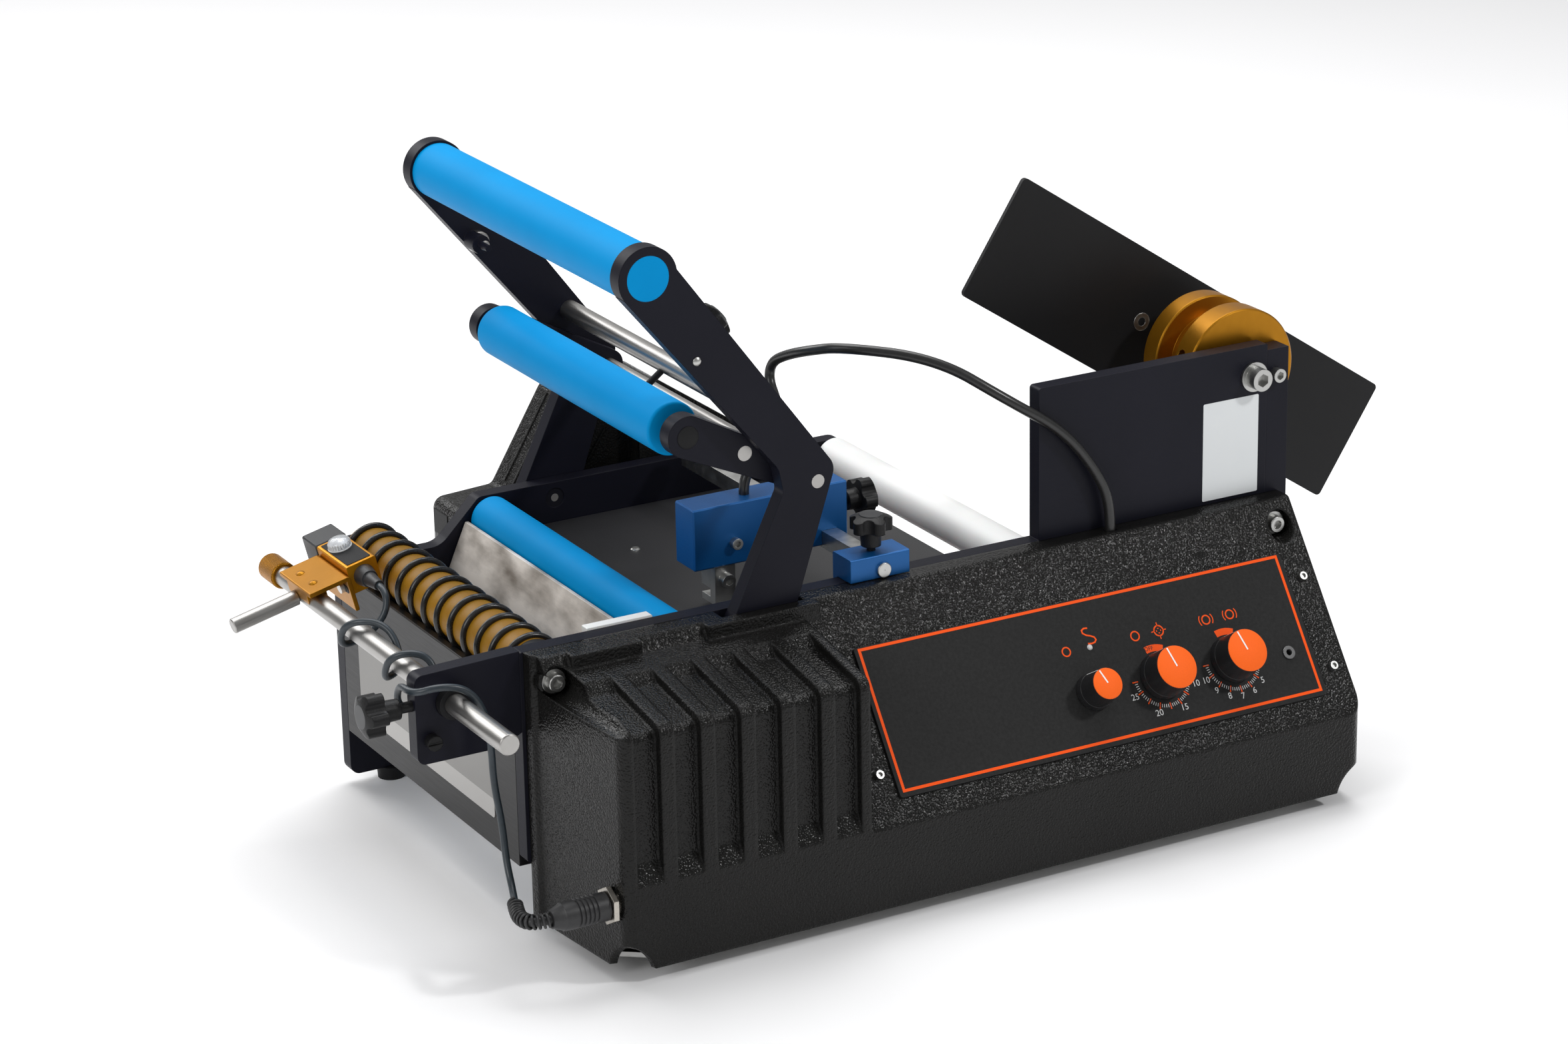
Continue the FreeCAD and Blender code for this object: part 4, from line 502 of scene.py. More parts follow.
def centred_steel(place):
    """Blackened pin with a bright turned centre in its head."""
    y = place.along("Y") - pivot.y
    z = place.along("Z") - pivot.z
    bright = (y * y + z * z).maths("SQRT").maths("LESS_THAN", 0.0024)
    stain = place.noise(300.0, 3.0)
    return {"Base Color": bright.blend_to((0.008, 0.008, 0.012, 1), (0.52, 0.50, 0.47, 1)),
            "Metallic": bright,
            "Roughness": 0.34 + 0.16 * stain}


def screw_steel(place):
    """Bright zinc, but for the blackened screw of the rod bracket in front of the plates."""
    plated = place.along("Y").maths("GREATER_THAN", plate_front.y)
    bloom = place.noise(160.0, 4.0)
    shade = plated * (0.75 + 0.25 * bloom)
    return {"Base Color": shade.blend_to((0.010, 0.010, 0.011, 1), (0.50, 0.50, 0.485, 1)),
            "Metallic": plated,
            "Roughness": 0.22 + 0.2 * bloom,
            "Normal": bloom.bump(0.00005, 0.4, edge=0.0003)}


screws = surface("screw_steel", screw_steel, specular_ior_level=0.3)
dress(surface("centred_steel", centred_steel, specular_ior_level=0.2), "arm_pins")
dress(screws, "frame_screws")
heads = bmesh.new()
for screw_place in screw_places:
    lathe([(7.9, 4.0), (7.9, 7.0), (8.7, 6.9), (8.7, 4.9), (13.0, 4.9), (13.4, 4.5), (13.4, 2.6),
           (10.5, 2.4), (10.5, 0.0)], screw_place, (1, 0, 0), mesh=heads)
show("cover_screw_heads", heads, screws, "machine_frame")
arm_screw = lathe([(0.0, 0.0), (0.0, 2.6), (0.5, 2.5), (1.2, 1.6), (1.5, 0.0)], mm(135.5, 106.9, 314.4),
                  (1, 0, 0), 24)
show("arm_screw", arm_screw, zinc, "arms")
standoff = lathe([(0.0, 0.0), (0.0, 6.5), (4.5, 6.5), (5.0, 6.0), (5.0, 3.0), (12.0, 3.0), (12.6, 2.4),
                  (12.6, 0.0)], mm(-125.5, 101.5, 319.0), (1, 0, 0), 32)
show("arm_standoff", standoff, bright_steel, "arms")
end_disc = lathe([(0.0, 0.0), (0.0, 6.4), (0.3, 6.4), (0.4, 6.2), (0.4, 0.0)], mm(124.5, 106.0, 268.5),
                 (1, 0, 0))
show("shaft_end_disc", end_disc, matt_black, "yoke")


# ---------------------------------------------------------------- bed tray and peel plate
# The tray is folded sheet in grey-black paint, worn to a sheen by the web. The peel plate is bare
# stainless with a mottled, handled look.
def tray_paint(place):
    grain = place.noise(1100.0, 2.0)
    wear = place.noise(14.0, 4.0, (0.5, 1.6, 1.0))
    return {"Base Color": wear.blend_to((0.015, 0.015, 0.0165, 1), (0.032, 0.032, 0.034, 1)),
            "Roughness": 0.30 + 0.14 * grain,
            "Normal": grain.bump(0.00003, 0.5, edge=0.0006)}


def mottled_steel(place):
    patch = place.noise(42.0, 5.0, (0.6, 1.0, 1.4))
    brush = place.noise(2400.0, 2.0, (0.03, 1.0, 1.0))
    tone = (3.0 * patch - 0.95 + 0.15 * brush).maths("MAXIMUM", 0.0).maths("MINIMUM", 1.0)
    return {"Base Color": tone.blend_to((0.26, 0.225, 0.19, 1), (0.95, 0.885, 0.81, 1)),
            "Roughness": 0.40 + 0.14 * patch,
            "Normal": brush.bump(0.00003, 0.5, edge=0.0005)}


dress(surface("tray_black", tray_paint, specular_ior_level=0.3), "bed_tray")
dress(surface("handled_stainless", mottled_steel, metallic=0.35), "peel_plate")


# ---------------------------------------------------------------- guide roller and rub strip
# White nylon: a turned roller on its shaft at the back of the bed, and a strip along the right end
# of the peel plate that keeps the web off the side plate.
def white_nylon(place):
    cloud = place.noise(30.0, 3.0)
    return {"Base Color": cloud.blend_to((0.78, 0.78, 0.77, 1), (0.86, 0.86, 0.85, 1)),
            "Roughness": 0.34 + 0.16 * cloud,
            "Normal": cloud.bump(0.00004, 0.4, edge=0.0006)}


nylon = surface("white_nylon", white_nylon, subsurface_weight=0.05)
dress(nylon, "guide_roller")
rub = slab([(46.0, 163.0), (46.0, 166.9), (46.4, 167.3), (85.6, 167.3), (86.0, 166.9), (86.0, 163.0)],
           108.5, 115.0)
rub_strip = show("rub_strip", rub, nylon, "machine_frame", smooth=False)
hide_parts("edge_strip")


# ---------------------------------------------------------------- front flap and its bare plate
# Grey-black brushed aluminium, hinged at its top bar. A plain silver plate is riveted to it, where
# the words that such a machine carries are left off.
def brushed_black(place):
    brush = place.noise(1800.0, 2.0, (0.03, 1.0, 1.0))
    cloud = place.noise(9.0, 3.0)
    tone = 0.6 * cloud + 0.4 * brush
    return {"Base Color": tone.blend_to((0.012, 0.012, 0.013, 1), (0.026, 0.0255, 0.026, 1)),
            "Roughness": 0.28 + 0.18 * brush,
            "Normal": brush.bump(0.00004, 0.6, edge=0.0006)}


def silver_film(place):
    strip_below = place.along("Z").maths("LESS_THAN", 0.0665)
    brush = place.noise(2200.0, 2.0, (0.03, 1.0, 1.0))
    tone = 0.8 * strip_below + 0.2 * brush
    return {"Base Color": tone.blend_to((0.24, 0.235, 0.225, 1), (0.46, 0.45, 0.435, 1)),
            "Roughness": 0.34 + 0.16 * brush,
            "Normal": brush.bump(0.00003, 0.4)}


def rounded_plate(corners, radius, thick, up):
    """Plate with rounded corners: four corner points in order, and the way its face looks."""
    mesh = bmesh.new()
    steps = 5
    ring = []
    for k, corner in enumerate(corners):
        before = (corners[k - 1] - corner).normalized() * radius
        after = (corners[(k + 1) % 4] - corner).normalized() * radius
        for step in range(steps + 1):
            turn = math.pi / 2 * step / steps
            ring.append(corner + before * (1 - math.sin(turn)) + after * (1 - math.cos(turn)))
    face = mesh.faces.new([mesh.verts.new(point) for point in ring])
    grown = bmesh.ops.extrude_face_region(mesh, geom=[face])["geom"]
    bmesh.ops.translate(mesh, verts=[v for v in grown if isinstance(v, bmesh.types.BMVert)],
                        vec=up * thick)
    bmesh.ops.bevel(mesh, geom=[e for e in mesh.edges if e.calc_length() > 0.004], offset=0.0001,
                    segments=1, profile=0.5, affect="EDGES", material=-1)
    return mesh


dress(surface("brushed_black", brushed_black, metallic=0.5, specular_ior_level=0.25), "front_flap")
flap_plate = rounded_plate([mm(x, -0.05, z) for x, z in ((-93, 55), (86, 55), (86, 104), (-93, 104))],
                           0.002, 0.0005, Vector((0, -1, 0)))
show("flap_plate", flap_plate, surface("silver_film", silver_film, metallic=0.6), "flap")


# ---------------------------------------------------------------- blue rollers and hand grip
# Blue polyurethane sleeves on the pressure roller, the cradle roller and the pinch roller, and a
# sleeve of the same blue on the bar of the handle.
def blue_sleeve(place):
    grain = place.noise(1300.0, 2.0)
    cloud = place.noise(22.0, 3.0)
    return {"Base Color": cloud.blend_to((0.000, 0.235, 0.55, 1), (0.000, 0.285, 0.65, 1)),
            "Roughness": 0.46 + 0.16 * grain,
            "Normal": grain.bump(0.00004, 0.6, edge=0.0010)}


blue = surface("blue_sleeve", blue_sleeve, specular_ior_level=0.06)
dress(blue, "pressure_roller", "cradle_roller", "pinch_roller", "handle_grip")


# ---------------------------------------------------------------- drive roller and its rings
# Amber urethane, ground rough, with a groove for each of thirteen black nitrile rings that grip the
# bottle.
def amber_urethane(place):
    bands = place.noise(30.0, 4.0, (0.25, 1.0, 1.0))
    grain = place.noise(900.0, 3.0)
    return {"Base Color": bands.blend_to((0.17, 0.082, 0.003, 1), (0.37, 0.180, 0.010, 1)),
            "Roughness": 0.38 + 0.2 * grain,
            "Normal": grain.bump(0.00006, 0.6, edge=0.0005)}


def nitrile(place):
    dust = place.noise(300.0, 4.0)
    return {"Base Color": dust.blend_to((0.006, 0.006, 0.006, 1), (0.018, 0.017, 0.016, 1)),
            "Roughness": 0.18 + 0.2 * dust,
            "Normal": dust.bump(0.00003, 0.4)}


dress(surface("amber_urethane", amber_urethane, specular_ior_level=0.25, subsurface_weight=0.08,
              subsurface_scale=0.003), "drive_roller")
ring_count, ring_span, ring_radius, cord_radius = 13, 208.0, 16.0, 1.9
cord_round = [(cord_radius * math.cos(math.pi * k / 8), ring_radius + cord_radius * math.sin(math.pi * k / 8))
              for k in range(17)]
rings = bmesh.new()
for k in range(ring_count):
    lathe(cord_round, mm(-108.0 + ring_span / (ring_count - 1) * k, 18.6, 147.9), (1, 0, 0), 72, rings)
o_rings = show("o_rings", rings, surface("nitrile_rings", nitrile), "drive")
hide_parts("drive_roller_rings")


# ---------------------------------------------------------------- reel hub
# Turned aluminium, gold-orange anodised, with lathe marks that run round its axis. The bottle
# sensor's bracket has the same finish.
def gold(place):
    brush = place.noise(1800.0, 2.0, (1.0, 0.15, 0.15))
    cloud = place.noise(35.0, 3.0)
    return {"Base Color": cloud.blend_to((0.33, 0.140, 0.005, 1), (0.45, 0.195, 0.011, 1)),
            "Roughness": 0.30 + 0.16 * brush,
            "Normal": brush.bump(0.00003, 0.5, edge=0.0006)}


gold_anodised = surface("gold_anodised", gold, metallic=0.85)
dress(gold_anodised, "reel_hub", "sensor_bracket")


# ---------------------------------------------------------------- reel side guide and its screw
# Black plate with rounded corners on a turned boss, which slides along the reel shaft to the roll's
# width. One zinc screw clamps it.
reel_y, reel_z = 477.5, 238.7
guide_tilt = math.radians(33.7)
down_back = Vector((0, math.cos(guide_tilt), -math.sin(guide_tilt)))
up_back = Vector((0, -down_back.z, down_back.y))
half_long, half_high = 0.154, 0.0385
guide = rounded_plate([mm(43.0, reel_y, reel_z) + down_back * a * half_long + up_back * b * half_high
                       for a, b in ((-1, -1), (1, -1), (1, 1), (-1, 1))], 0.003, 0.003, Vector((1, 0, 0)))
lathe([(0.0, 8.0), (0.0, 36.0), (1.0, 37.0), (14.0, 37.0), (14.0, 8.0)], mm(29.0, reel_y, reel_z),
      (1, 0, 0), 64, guide)
guide_piece = show("side_guide_plate", guide, matt_black, "side_guide")
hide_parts("reel_guide")
guide_screw = lathe([(-0.3, 0.0), (-0.3, 5.6), (0.15, 5.4), (0.15, 2.6), (-1.2, 2.2), (-1.2, 0.0)],
                    mm(46.0, reel_y, reel_z) - down_back * 0.0305, (1, 0, 0))
show("guide_screw", guide_screw, zinc, "side_guide")


# ---------------------------------------------------------------- reel bush
# Flanged bush of white nylon, turned, and pressed into the tower's plate. It carries the reel
# shaft.
bush = lathe([(-3.6, 7.6), (-3.6, 9.1), (0.2, 9.1), (0.2, 12.4), (3.3, 12.4), (3.3, 7.6)],
             mm(111.5, reel_y, reel_z), (1, 0, 0))
bush_piece = show("nylon_bush", bush, nylon, "machine_frame")
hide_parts("reel_bush")


# ---------------------------------------------------------------- label sensor and bar clamp
# Milled blocks of aluminium, deep blue anodised, that clamp on the square zinc bar. A zinc pin shows
# in the bar clamp's end.
def blue_metal(place):
    brush = place.noise(1500.0, 2.0, (0.2, 1.0, 1.0))
    cloud = place.noise(30.0, 3.0)
    return {"Base Color": cloud.blend_to((0.002, 0.078, 0.26, 1), (0.004, 0.106, 0.34, 1)),
            "Roughness": 0.32 + 0.14 * brush,
            "Normal": brush.bump(0.00003, 0.5, edge=0.0006)}


dress(surface("blue_anodised", blue_metal, metallic=0.40), "sensor_block", "bar_clamp")
clamp_pin = lathe([(-0.2, 0.0), (-0.2, 4.4), (0.9, 4.4), (1.3, 4.0), (1.3, 0.4), (0.8, 0.0)],
                  mm(130.6, 224.0, 171.0), (1, 0, 0))
show("clamp_pin", clamp_pin, zinc, "bar_slide")


# ---------------------------------------------------------------- star knobs
# Glass-filled nylon heads with a wrinkled skin, moulded on steel studs, each with a smooth grey cap
# pressed into the top. They clamp the sensors and set the roller's pressure.
def wrinkle(place):
    fold = place.noise(1500.0, 4.0)
    return {"Base Color": fold.blend_to((0.005, 0.005, 0.0055, 1), (0.012, 0.012, 0.0125, 1)),
            "Roughness": 0.30 + 0.2 * fold,
            "Normal": fold.bump(0.00020, 0.7, edge=0.0008)}


def cap_grey(place):
    cloud = place.noise(200.0, 3.0)
    return {"Base Color": cloud.blend_to((0.025, 0.026, 0.028, 1), (0.040, 0.041, 0.044, 1)),
            "Roughness": 0.30 + 0.12 * cloud,
            "Normal": cloud.bump(0.00003, 0.4)}


knob_black = surface("knob_black", wrinkle, specular_ior_level=0.22)
knob_cap = surface("knob_cap", cap_grey, specular_ior_level=0.3)
dress(knob_black, "adjuster_knob", "bar_clamp_knob", "sensor_block_knob", "bracket_knob")
stud_root, stud_tip = Vector((0.0, 160.0, 267.4)), Vector((0.0, 140.8, 253.1))
stud_way = (stud_root - stud_tip).normalized()
knob_top = stud_root + stud_way * (7.0 + 22.0 + 12.0)
for cap_name, cap_place, cap_way, cap_body, crown in (
        ("adjuster_cap", knob_top, stud_way, "adjuster", 1.1),
        ("bar_clamp_cap", Vector((120.0, 222.0, 201.0)), Vector((0, 0, 1)), "bar_screw", 1.1),
        ("block_cap", Vector((59.0, 258.0, 187.5)), Vector((0, 1, 0)), "label_sensor_screw", 1.1),
        ("bracket_cap", Vector((120.0, -92.0, 147.0)), Vector((0, -1, 0)), "bracket_screw", 0.03)):
    cap = lathe([(0.0, 0.0), (0.0, 6.6), (crown * 0.5, 6.3), (crown * 0.8, 4.0), (crown, 0.0)],
                mm(*cap_place), cap_way)
    show(cap_name, cap, knob_cap, cap_body)


# ---------------------------------------------------------------- control panel
# Thin aluminium plate with a fine black grain, printed in orange and white: a border, rings and
# marks over the controls, a scale round each dial. Words and names are left off.
slope = 0.708
down_x, down_z = math.sin(math.atan(slope)), math.cos(math.atan(slope))
panel_z = 138.0
panel_x = 215.0 - (panel_z - 56.5) * slope
panel_thick = 1.5


def on_panel(y, s, lift=0.0):
    """Point over the panel's face: y along it, s down it from its datum, both in millimetres."""
    n = panel_thick + lift
    return mm(panel_x + s * down_x + n * down_z, y, panel_z - s * down_z + n * down_x)


def ribbon(mesh, points, width, closed=False, lift=0.06):
    """Flat printed line through (y, s) points, with mitred corners."""
    count = len(points)
    rails = []
    for k in range(count):
        here = Vector(points[k])
        before = Vector(points[k - 1]) if closed or k else here
        after = Vector(points[(k + 1) % count]) if closed or k < count - 1 else here
        a = (here - before).normalized() if here != before else (after - here).normalized()
        b = (after - here).normalized() if here != after else a
        mitre = (Vector((-a.y, a.x)) + Vector((-b.y, b.x))).normalized()
        reach = width / 2.0 / max(0.3, mitre.dot(Vector((-a.y, a.x))))
        rails.append([mesh.verts.new(on_panel(*(here + mitre * reach * side), lift)) for side in (1, -1)])
    for k in range(count if closed else count - 1):
        p, q = rails[k], rails[(k + 1) % count]
        mesh.faces.new((p[0], q[0], q[1], p[1]))


def ring_points(y, s, radius, first=0.0, last=360.0, steps=24):
    """Points of an arc, with angles from the panel's rear end towards its top. A full ring doesn't
    repeat its first point."""
    return [(y + radius * math.cos(math.radians(first + (last - first) * k / steps)),
             s - radius * math.sin(math.radians(first + (last - first) * k / steps)))
            for k in range(steps + (first != 0.0 or last != 360.0))]


def ray(y, s, angle, inner, outer):
    """Ends of a mark that points away from (y, s), with its angle as in ring_points."""
    return [(y + r * math.cos(math.radians(angle)), s - r * math.sin(math.radians(angle)))
            for r in (inner, outer)]


def digits(mesh, text, y, s, size, lift=0.06):
    """Plain number on the panel, centred on (y, s)."""
    words = bpy.data.curves.new("digits", "FONT")
    words.body = text
    words.size = size
    words.align_x = "CENTER"
    words.align_y = "CENTER"
    holder = bpy.data.objects.new("digits_line", words)
    flat = bpy.data.meshes.new_from_object(holder)
    bpy.data.objects.remove(holder)
    for vertex in flat.vertices:
        vertex.co = on_panel(y + vertex.co.x, s - vertex.co.y, lift)
    mesh.from_mesh(flat)


def panel_grain(place):
    grain = place.noise(1300.0, 3.0)
    speck = place.noise(520.0, 2.0)
    return {"Base Color": speck.blend_to((0.010, 0.010, 0.010, 1), (0.023, 0.023, 0.023, 1)),
            "Roughness": 0.58 + 0.16 * grain,
            "Normal": grain.bump(0.00010, 0.6, edge=0.0004)}


def ink(colour):
    def paint(place):
        cloud = place.noise(700.0, 2.0)
        return {"Base Color": cloud.blend_to((*[c * 0.92 for c in colour], 1), (*colour, 1)),
                "Roughness": 0.42 + 0.1 * cloud}
    return paint


orange_ink = surface("orange_ink", ink((0.93, 0.090, 0.003)), specular_ior_level=0.1)
white_ink = surface("white_ink", ink((0.60, 0.60, 0.60)), specular_ior_level=0.1)
dress(surface("panel_grain", panel_grain, specular_ior_level=0.16), "control_panel")
power_y, length_y, gap_y = 325.5, 371.6, 420.0
knob_down, signs_down = 53.0, 27.0
orange = bmesh.new()
ribbon(orange, [(191.2, 0.0), (471.5, 0.0), (471.5, 82.0), (191.2, 82.0)], 1.7, closed=True)
for y, radius in ((317.1, 2.6), (363.5, 2.7), (379.6, 3.0), (412.2, 2.6), (428.6, 2.6)):
    ribbon(orange, ring_points(y, signs_down, radius), 0.8, closed=True)
for y in (412.2, 428.6):
    for turn in (142.0, -38.0):
        ribbon(orange, ring_points(y, signs_down, 4.6, turn, turn + 76.0, 10), 0.6)
for turn in (0.0, 90.0, 180.0, 270.0):
    ribbon(orange, ring_points(379.6, signs_down, 1.4, turn - 20.0, turn + 20.0, 3), 0.5)
    ribbon(orange, ray(379.6, signs_down, turn, 2.6, 5.0), 0.6)
wave = ((335.0, 16.3), (332.6, 16.1), (330.9, 17.0), (331.0, 18.7), (332.9, 20.2), (335.4, 21.1),
        (337.6, 22.3), (338.2, 23.9), (337.0, 25.2), (334.6, 25.6), (332.4, 25.2))
ribbon(orange, wave, 0.9)
for y in (length_y, gap_y):
    ribbon(orange, ring_points(y, knob_down, 17.0, 66.0, 106.0, 12), 4.0)
    for k in range(8):
        ribbon(orange, ray(y, knob_down, 180.0 + 22.4 * k, 15.8, 19.6), 0.7)
show("panel_print_orange", orange, orange_ink, "machine_frame", smooth=False)

white = bmesh.new()
for y, readings, apart in ((length_y, ("25", "20", "15", "10"), 44.8),
                           (gap_y, ("10", "9", "8", "7", "6", "5"), 22.4)):
    for k in range(36):
        ribbon(white, ray(y, knob_down, 180.0 + 4.48 * k, 16.4, 18.4), 0.42)
    for k, reading in enumerate(readings):
        turn = math.radians(202.4 + apart * k)
        digits(white, reading, y + 22.4 * math.cos(turn), knob_down - 22.0 * math.sin(turn), 5.2)
lathe([(0.0, 0.0), (0.0, 1.7), (0.8, 1.2), (1.0, 0.0)], on_panel(332.8, 27.4), (down_z, 0, down_x), 20, white)
show("panel_print_white", white, white_ink, "machine_frame", smooth=False)
dark = bmesh.new()
digits(dark, "OFF", length_y - 2.2, knob_down - 17.0, 3.4, lift=0.12)
show("panel_print_dark", dark, matt_black, "machine_frame", smooth=False)


# ---------------------------------------------------------------- panel knobs
# Black skirted knobs, moulded and pressed on their shafts, with a matt orange disc let into the top
# and a white pointer line across it.
def knob_skin(place):
    grain = place.noise(1200.0, 2.0)
    return {"Base Color": grain.blend_to((0.008, 0.008, 0.0085, 1), (0.016, 0.016, 0.017, 1)),
            "Roughness": 0.30 + 0.14 * grain,
            "Normal": grain.bump(0.00005, 0.5, edge=0.0006)}


def matt_orange(place):
    grain = place.noise(1200.0, 2.0)
    return {"Base Color": grain.blend_to((0.88, 0.120, 0.008, 1), (0.96, 0.140, 0.011, 1)),
            "Roughness": 0.55 + 0.14 * grain,
            "Normal": grain.bump(0.00005, 0.5)}


dress(surface("knob_skin", knob_skin, specular_ior_level=0.35), "power_knob", "length_dial", "gap_dial")
orange_disc = surface("orange_disc", matt_orange, specular_ior_level=0.2)
pointer_white = surface("pointer_white", ink((0.86, 0.86, 0.84)))
for label, y, foot_r, radius, top, body, turn in (
        ("power", power_y, 10.4, 9.2, 19.7, "power", 110.0),
        ("length", length_y, 13.4, 12.6, 20.7, "length_control", 104.0),
        ("gap", gap_y, 13.4, 12.6, 20.7, "gap_control", 104.0)):
    disc = lathe([(0.0, 0.0), (0.0, radius - 0.1), (0.35, radius - 0.2), (0.55, radius - 0.5), (0.62, 0.0)],
                 on_panel(y, knob_down, top - panel_thick), (down_z, 0, down_x), 64)
    show(label + "_cap", disc, orange_disc, body)
    pointer = bmesh.new()
    ribbon(pointer, ray(y, knob_down, turn, 0.3, radius - 0.6), 0.9, lift=top - panel_thick + 0.70)
    side = []
    for r, n in ((foot_r + 0.06, 6.8), (radius + 0.06, top - 0.1)):
        for apart in (-0.45, 0.45):
            out = math.radians(turn) + apart / r
            place = on_panel(y + r * math.cos(out), knob_down - r * math.sin(out), n - panel_thick)
            side.append(pointer.verts.new(place))
    pointer.faces.new((side[0], side[1], side[3], side[2]))
    show(label + "_pointer", pointer, pointer_white, body, smooth=False)


# ---------------------------------------------------------------- sockets
# Nickel hex nut on the sensor socket in the cover's nose, and the moulded black mains inlet at the
# back.
def socket_paint(place):
    front = place.along("Y").maths("LESS_THAN", 0.0)
    polish = place.noise(240.0, 3.0)
    return {"Base Color": front.blend_to((0.045, 0.045, 0.047, 1), (0.50, 0.47, 0.42, 1)),
            "Metallic": front,
            "Roughness": 0.20 + 0.16 * polish,
            "Normal": polish.bump(0.00003, 0.4, edge=0.0005)}


dress(surface("nickel_and_black", socket_paint), "sockets")


# ---------------------------------------------------------------- electronics
# Green circuit board with its parts, and the boxed supply. Both are screwed down inside the right
# cover.
def board_green(place):
    trace = place.noise(260.0, 1.0, (1.0, 1.0, 0.4))
    return {"Base Color": trace.blend_to((0.008, 0.060, 0.022, 1), (0.030, 0.150, 0.060, 1)),
            "Roughness": 0.36 + 0.12 * trace,
            "Normal": trace.bump(0.00005, 0.4)}


dress(surface("board_green", board_green), "electronics")


# ---------------------------------------------------------------- bottle sensor
# Gold body with a nickel nut, a dark lens head and a rubber gland, and a clear ribbed dome over a
# silver dial. A dark inset without words is let into its top. Two rivets are in its bracket, and a
# thin black film on it is painted shade where its slot is. A steel finger rod stands out of it, and a knurled
# gold knob closes the rod's end.
tilted_up = clocked(0, rod_y, rod_z + 1000.0) - clocked(0, rod_y, rod_z)
tilted_back = clocked(0, rod_y + 1000.0, rod_z) - clocked(0, rod_y, rod_z)
dial_base = clocked(-73.0, rod_y + 28.6, rod_z + 15.0)
nut_back, nut_top = mm(0, -24.2, 0), 0.1572
knurl_pitch = 5200.0


def gold_and_nickel(place):
    """Gold body, and nickel on the nut that stands low in front of it."""
    nut = place.along("Y").maths("LESS_THAN", nut_back.y) * place.along("Z").maths("LESS_THAN", nut_top)
    given = gold(place)
    given["Base Color"] = nut.blend_to((0.62, 0.27, 0.008, 1), (0.78, 0.76, 0.72, 1))
    return given


def charcoal(place):
    grain = place.noise(800.0, 3.0)
    lens = place.along("X").maths("COMPARE", dial_base.x, 0.0085)
    return {"Base Color": lens.blend_to(grain.blend_to((0.014, 0.0145, 0.016, 1), (0.032, 0.033, 0.036, 1)),
                                        (0.74, 0.75, 0.77, 1)),
            "Metallic": 0.6 * lens,
            "Roughness": 0.36 + 0.16 * grain,
            "Normal": grain.bump(0.00006, 0.5, edge=0.0006)}


def clear_ribs(place):
    haze = place.noise(400.0, 2.0)
    return {"Base Color": haze.blend_to((0.86, 0.88, 0.90, 1), (0.95, 0.96, 0.97, 1)),
            "Roughness": 0.05 + 0.1 * haze,
            "Normal": haze.bump(0.00004, 0.4)}


def knurled_gold(place):
    """Diamond knurl, as two sets of slanting ridges round the rod's axis."""
    middle = place.node("Mapping", None, {"Vector": place, "Location": tuple(-mm(0, rod_y, rod_z))})
    x, y, z = [middle.along(axis) for axis in "XYZ"]
    round_way = z.maths("ARCTAN2", y) * 0.0080
    left = ((x + round_way) * knurl_pitch).maths("SINE")
    right = ((x - round_way) * knurl_pitch).maths("SINE")
    on_side = (y * y + z * z).maths("SQRT").maths("GREATER_THAN", 0.0075)
    height = left.maths("MAXIMUM", right) * on_side
    cloud = place.noise(60.0, 3.0)
    return {"Base Color": cloud.blend_to((0.28, 0.115, 0.004, 1), (0.40, 0.170, 0.010, 1)),
            "Roughness": 0.26 + 0.14 * cloud,
            "Normal": height.bump(0.00035, 0.9, edge=0.0005)}


dress(surface("gold_and_nickel", gold_and_nickel, metallic=0.85), "bottle_sensor")
dress(surface("charcoal", charcoal), "sensor_end_caps")

dial = lathe([(0.3, 0.0), (0.3, 7.1), (0.9, 7.1), (1.1, 6.7), (1.1, 0.0)], dial_base, tilted_up)
rib_count = 24
for k in range(rib_count):
    turn = 2 * math.pi * k / rib_count
    out = tilted_back * math.cos(turn) + tilted_back.cross(tilted_up) * math.sin(turn)
    lathe([(1.1, 0.0), (1.1, 0.45), (4.0, 0.4), (4.3, 0.0)], dial_base + out * 0.0062, tilted_up, 8, dial)
show("sensor_dial", dial, nylon, "bottle_sensor_rod")
dome = lathe([(1.1, 0.0), (1.1, 6.9), (3.6, 6.75), (5.3, 5.6), (6.3, 3.4), (6.6, 0.0)], dial_base, tilted_up)
show("sensor_dome", dome, surface("clear_ribs", clear_ribs, transmission_weight=0.85, ior=1.45),
             "bottle_sensor_rod")

inset = rounded_plate([clocked(x, rod_y + y, rod_z + 15.0) for x, y in (
    (-84.5, 21.2), (-47.2, 21.2), (-47.2, 36.2), (-84.5, 36.2))], 0.0008, 0.0003, tilted_up)
show("sensor_inset", inset, matt_black, "bottle_sensor_rod")
rivets = bmesh.new()
for x in (-72.0, -54.0):
    lathe([(10.4, 0.0), (10.4, 2.7), (11.2, 2.5), (11.9, 1.4), (12.1, 0.0)],
          clocked(x, rod_y + 1.0, rod_z), tilted_up, 24, rivets)
show("bracket_screws", rivets, gold_anodised, "bottle_sensor_rod")
# Thin matt black film on the bracket's flange: painted shade standing in for the opening of its slot.
slot_shade_film = rounded_plate([clocked(x, rod_y + 16.8, rod_z + z) for x, z in (
    (-62.0, -0.6), (-44.0, -0.6), (-44.0, 4.6), (-62.0, 4.6))], 0.0024, 0.0002, -tilted_back)
show("slot_shade_film", slot_shade_film, matt_black, "bottle_sensor_rod")

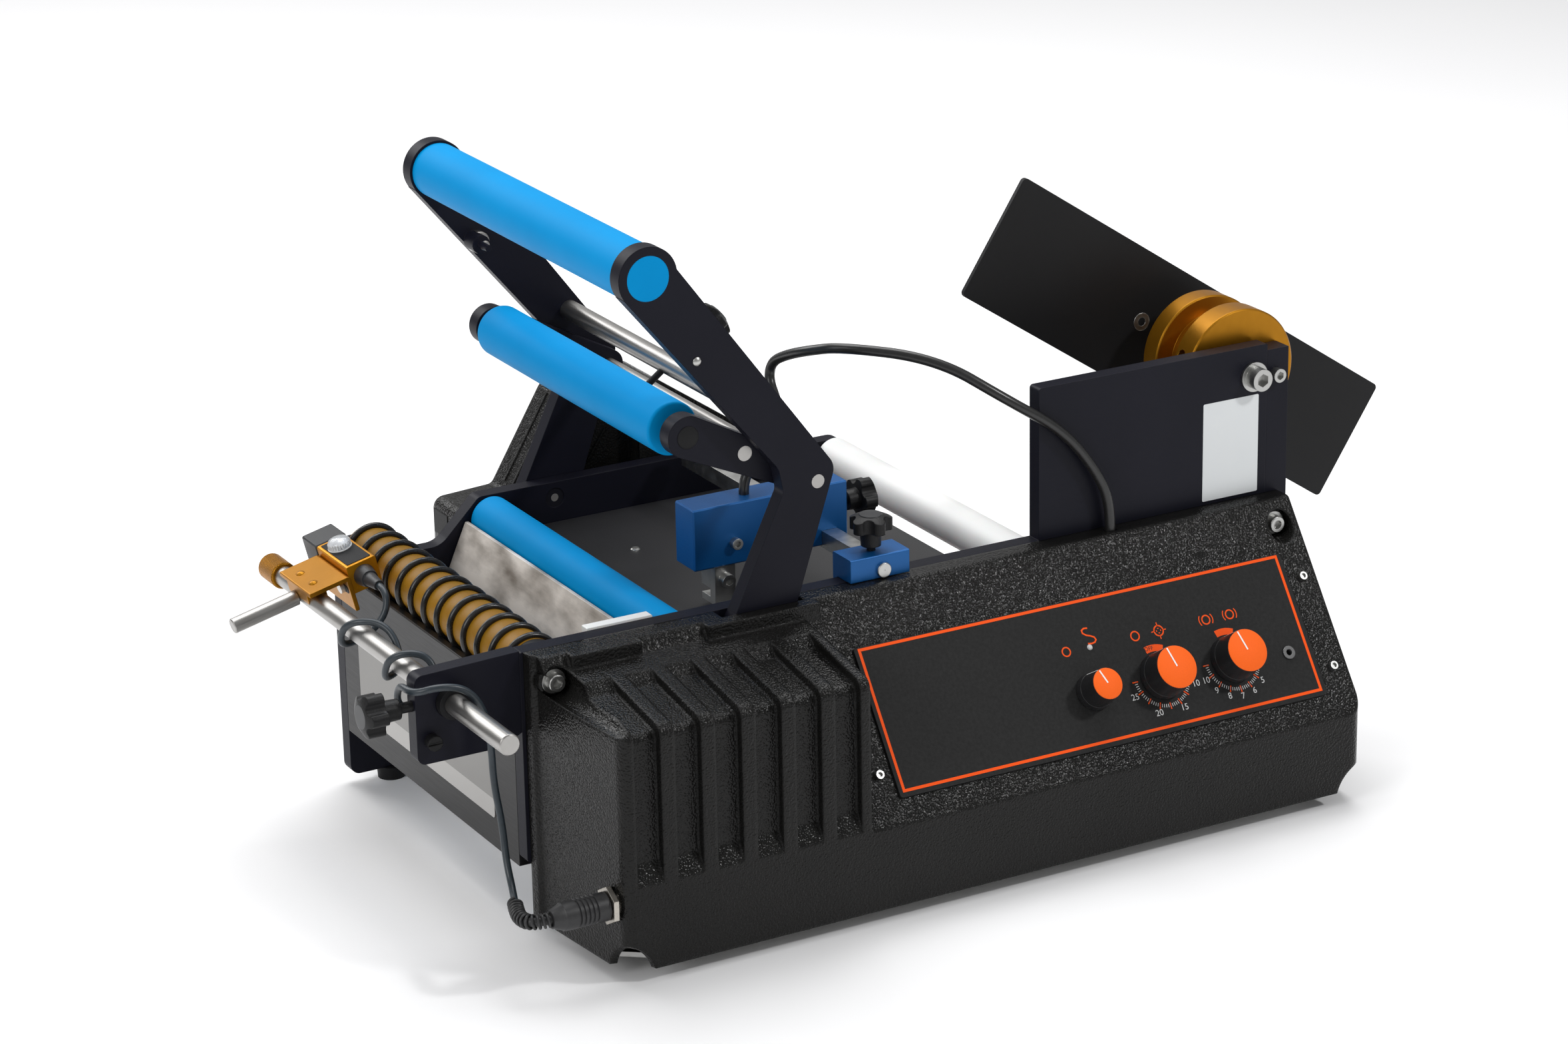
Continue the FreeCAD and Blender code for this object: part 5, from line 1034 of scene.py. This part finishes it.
finger = lathe([(0.0, 0.0), (0.0, 4.0), (0.5, 4.5), (41.0, 4.5), (41.0, 3.0)],
               clocked(-68.0, rod_y - 47.5, rod_z), tilted_back, 32)
show("finger_rod", finger, bright_steel, "bottle_sensor_rod")
knurled = lathe([(0.0, 0.0), (0.0, 7.2), (0.8, 8.0), (19.2, 8.0), (20.0, 7.2), (20.0, 5.8), (20.0, 0.0)],
                mm(-120.0, rod_y, rod_z), (1, 0, 0))
end_knob = show("knurled_knob", knurled, surface("knurled_gold", knurled_gold, metallic=0.85), "rod_screw")
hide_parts("rod_end_knob")


# ---------------------------------------------------------------- rod bracket's screw
# Blackened screw with a straight slot, in the side of the bracket that holds the rod's collar. Its
# head is two half-moons, with the slot between them.
screw_y, screw_z = -53.7, 127.2
slot_screw = lathe([(5.0, 0.0), (5.0, 4.4), (5.2, 4.4), (5.2, 0.0)], mm(125.0, screw_y, screw_z),
                   (1, 0, 0), 32)
for middle in (90, -90):
    arc = [math.radians(turn) for turn in range(middle - 80, middle + 81, 10)]
    slab([(screw_y + 4.3 * math.cos(turn), screw_z + 4.3 * math.sin(turn)) for turn in arc], 130.0, 130.9,
         slot_screw)
show("bracket_screw_head", slot_screw, knob_black, "machine_frame")


# ---------------------------------------------------------------- bare plates
# A white film on the tower, where ratings would stand, and a small dark plate on the left cover's
# front. Both are left without words.
def bare_film(place):
    cloud = place.noise(26.0, 4.0)
    return {"Base Color": cloud.blend_to((0.66, 0.69, 0.70, 1), (0.74, 0.76, 0.77, 1)),
            "Roughness": 0.36 + 0.16 * cloud,
            "Normal": cloud.bump(0.0002, 0.3)}


rating = rounded_plate([mm(125.05, y, z) for y, z in (
    (442.4, 168.0), (481.2, 168.0), (481.2, 227.6), (442.4, 227.6))], 0.001, 0.00025, Vector((1, 0, 0)))
show("rating_plate", rating, surface("bare_film", bare_film), "machine_frame")
badge = slab([(85.6, 129.0), (85.6, 144.0), (86.2, 144.0), (86.2, 129.0)], -169.0, -150.0)
show("bare_badge", badge, matt_black, "machine_frame", smooth=False)
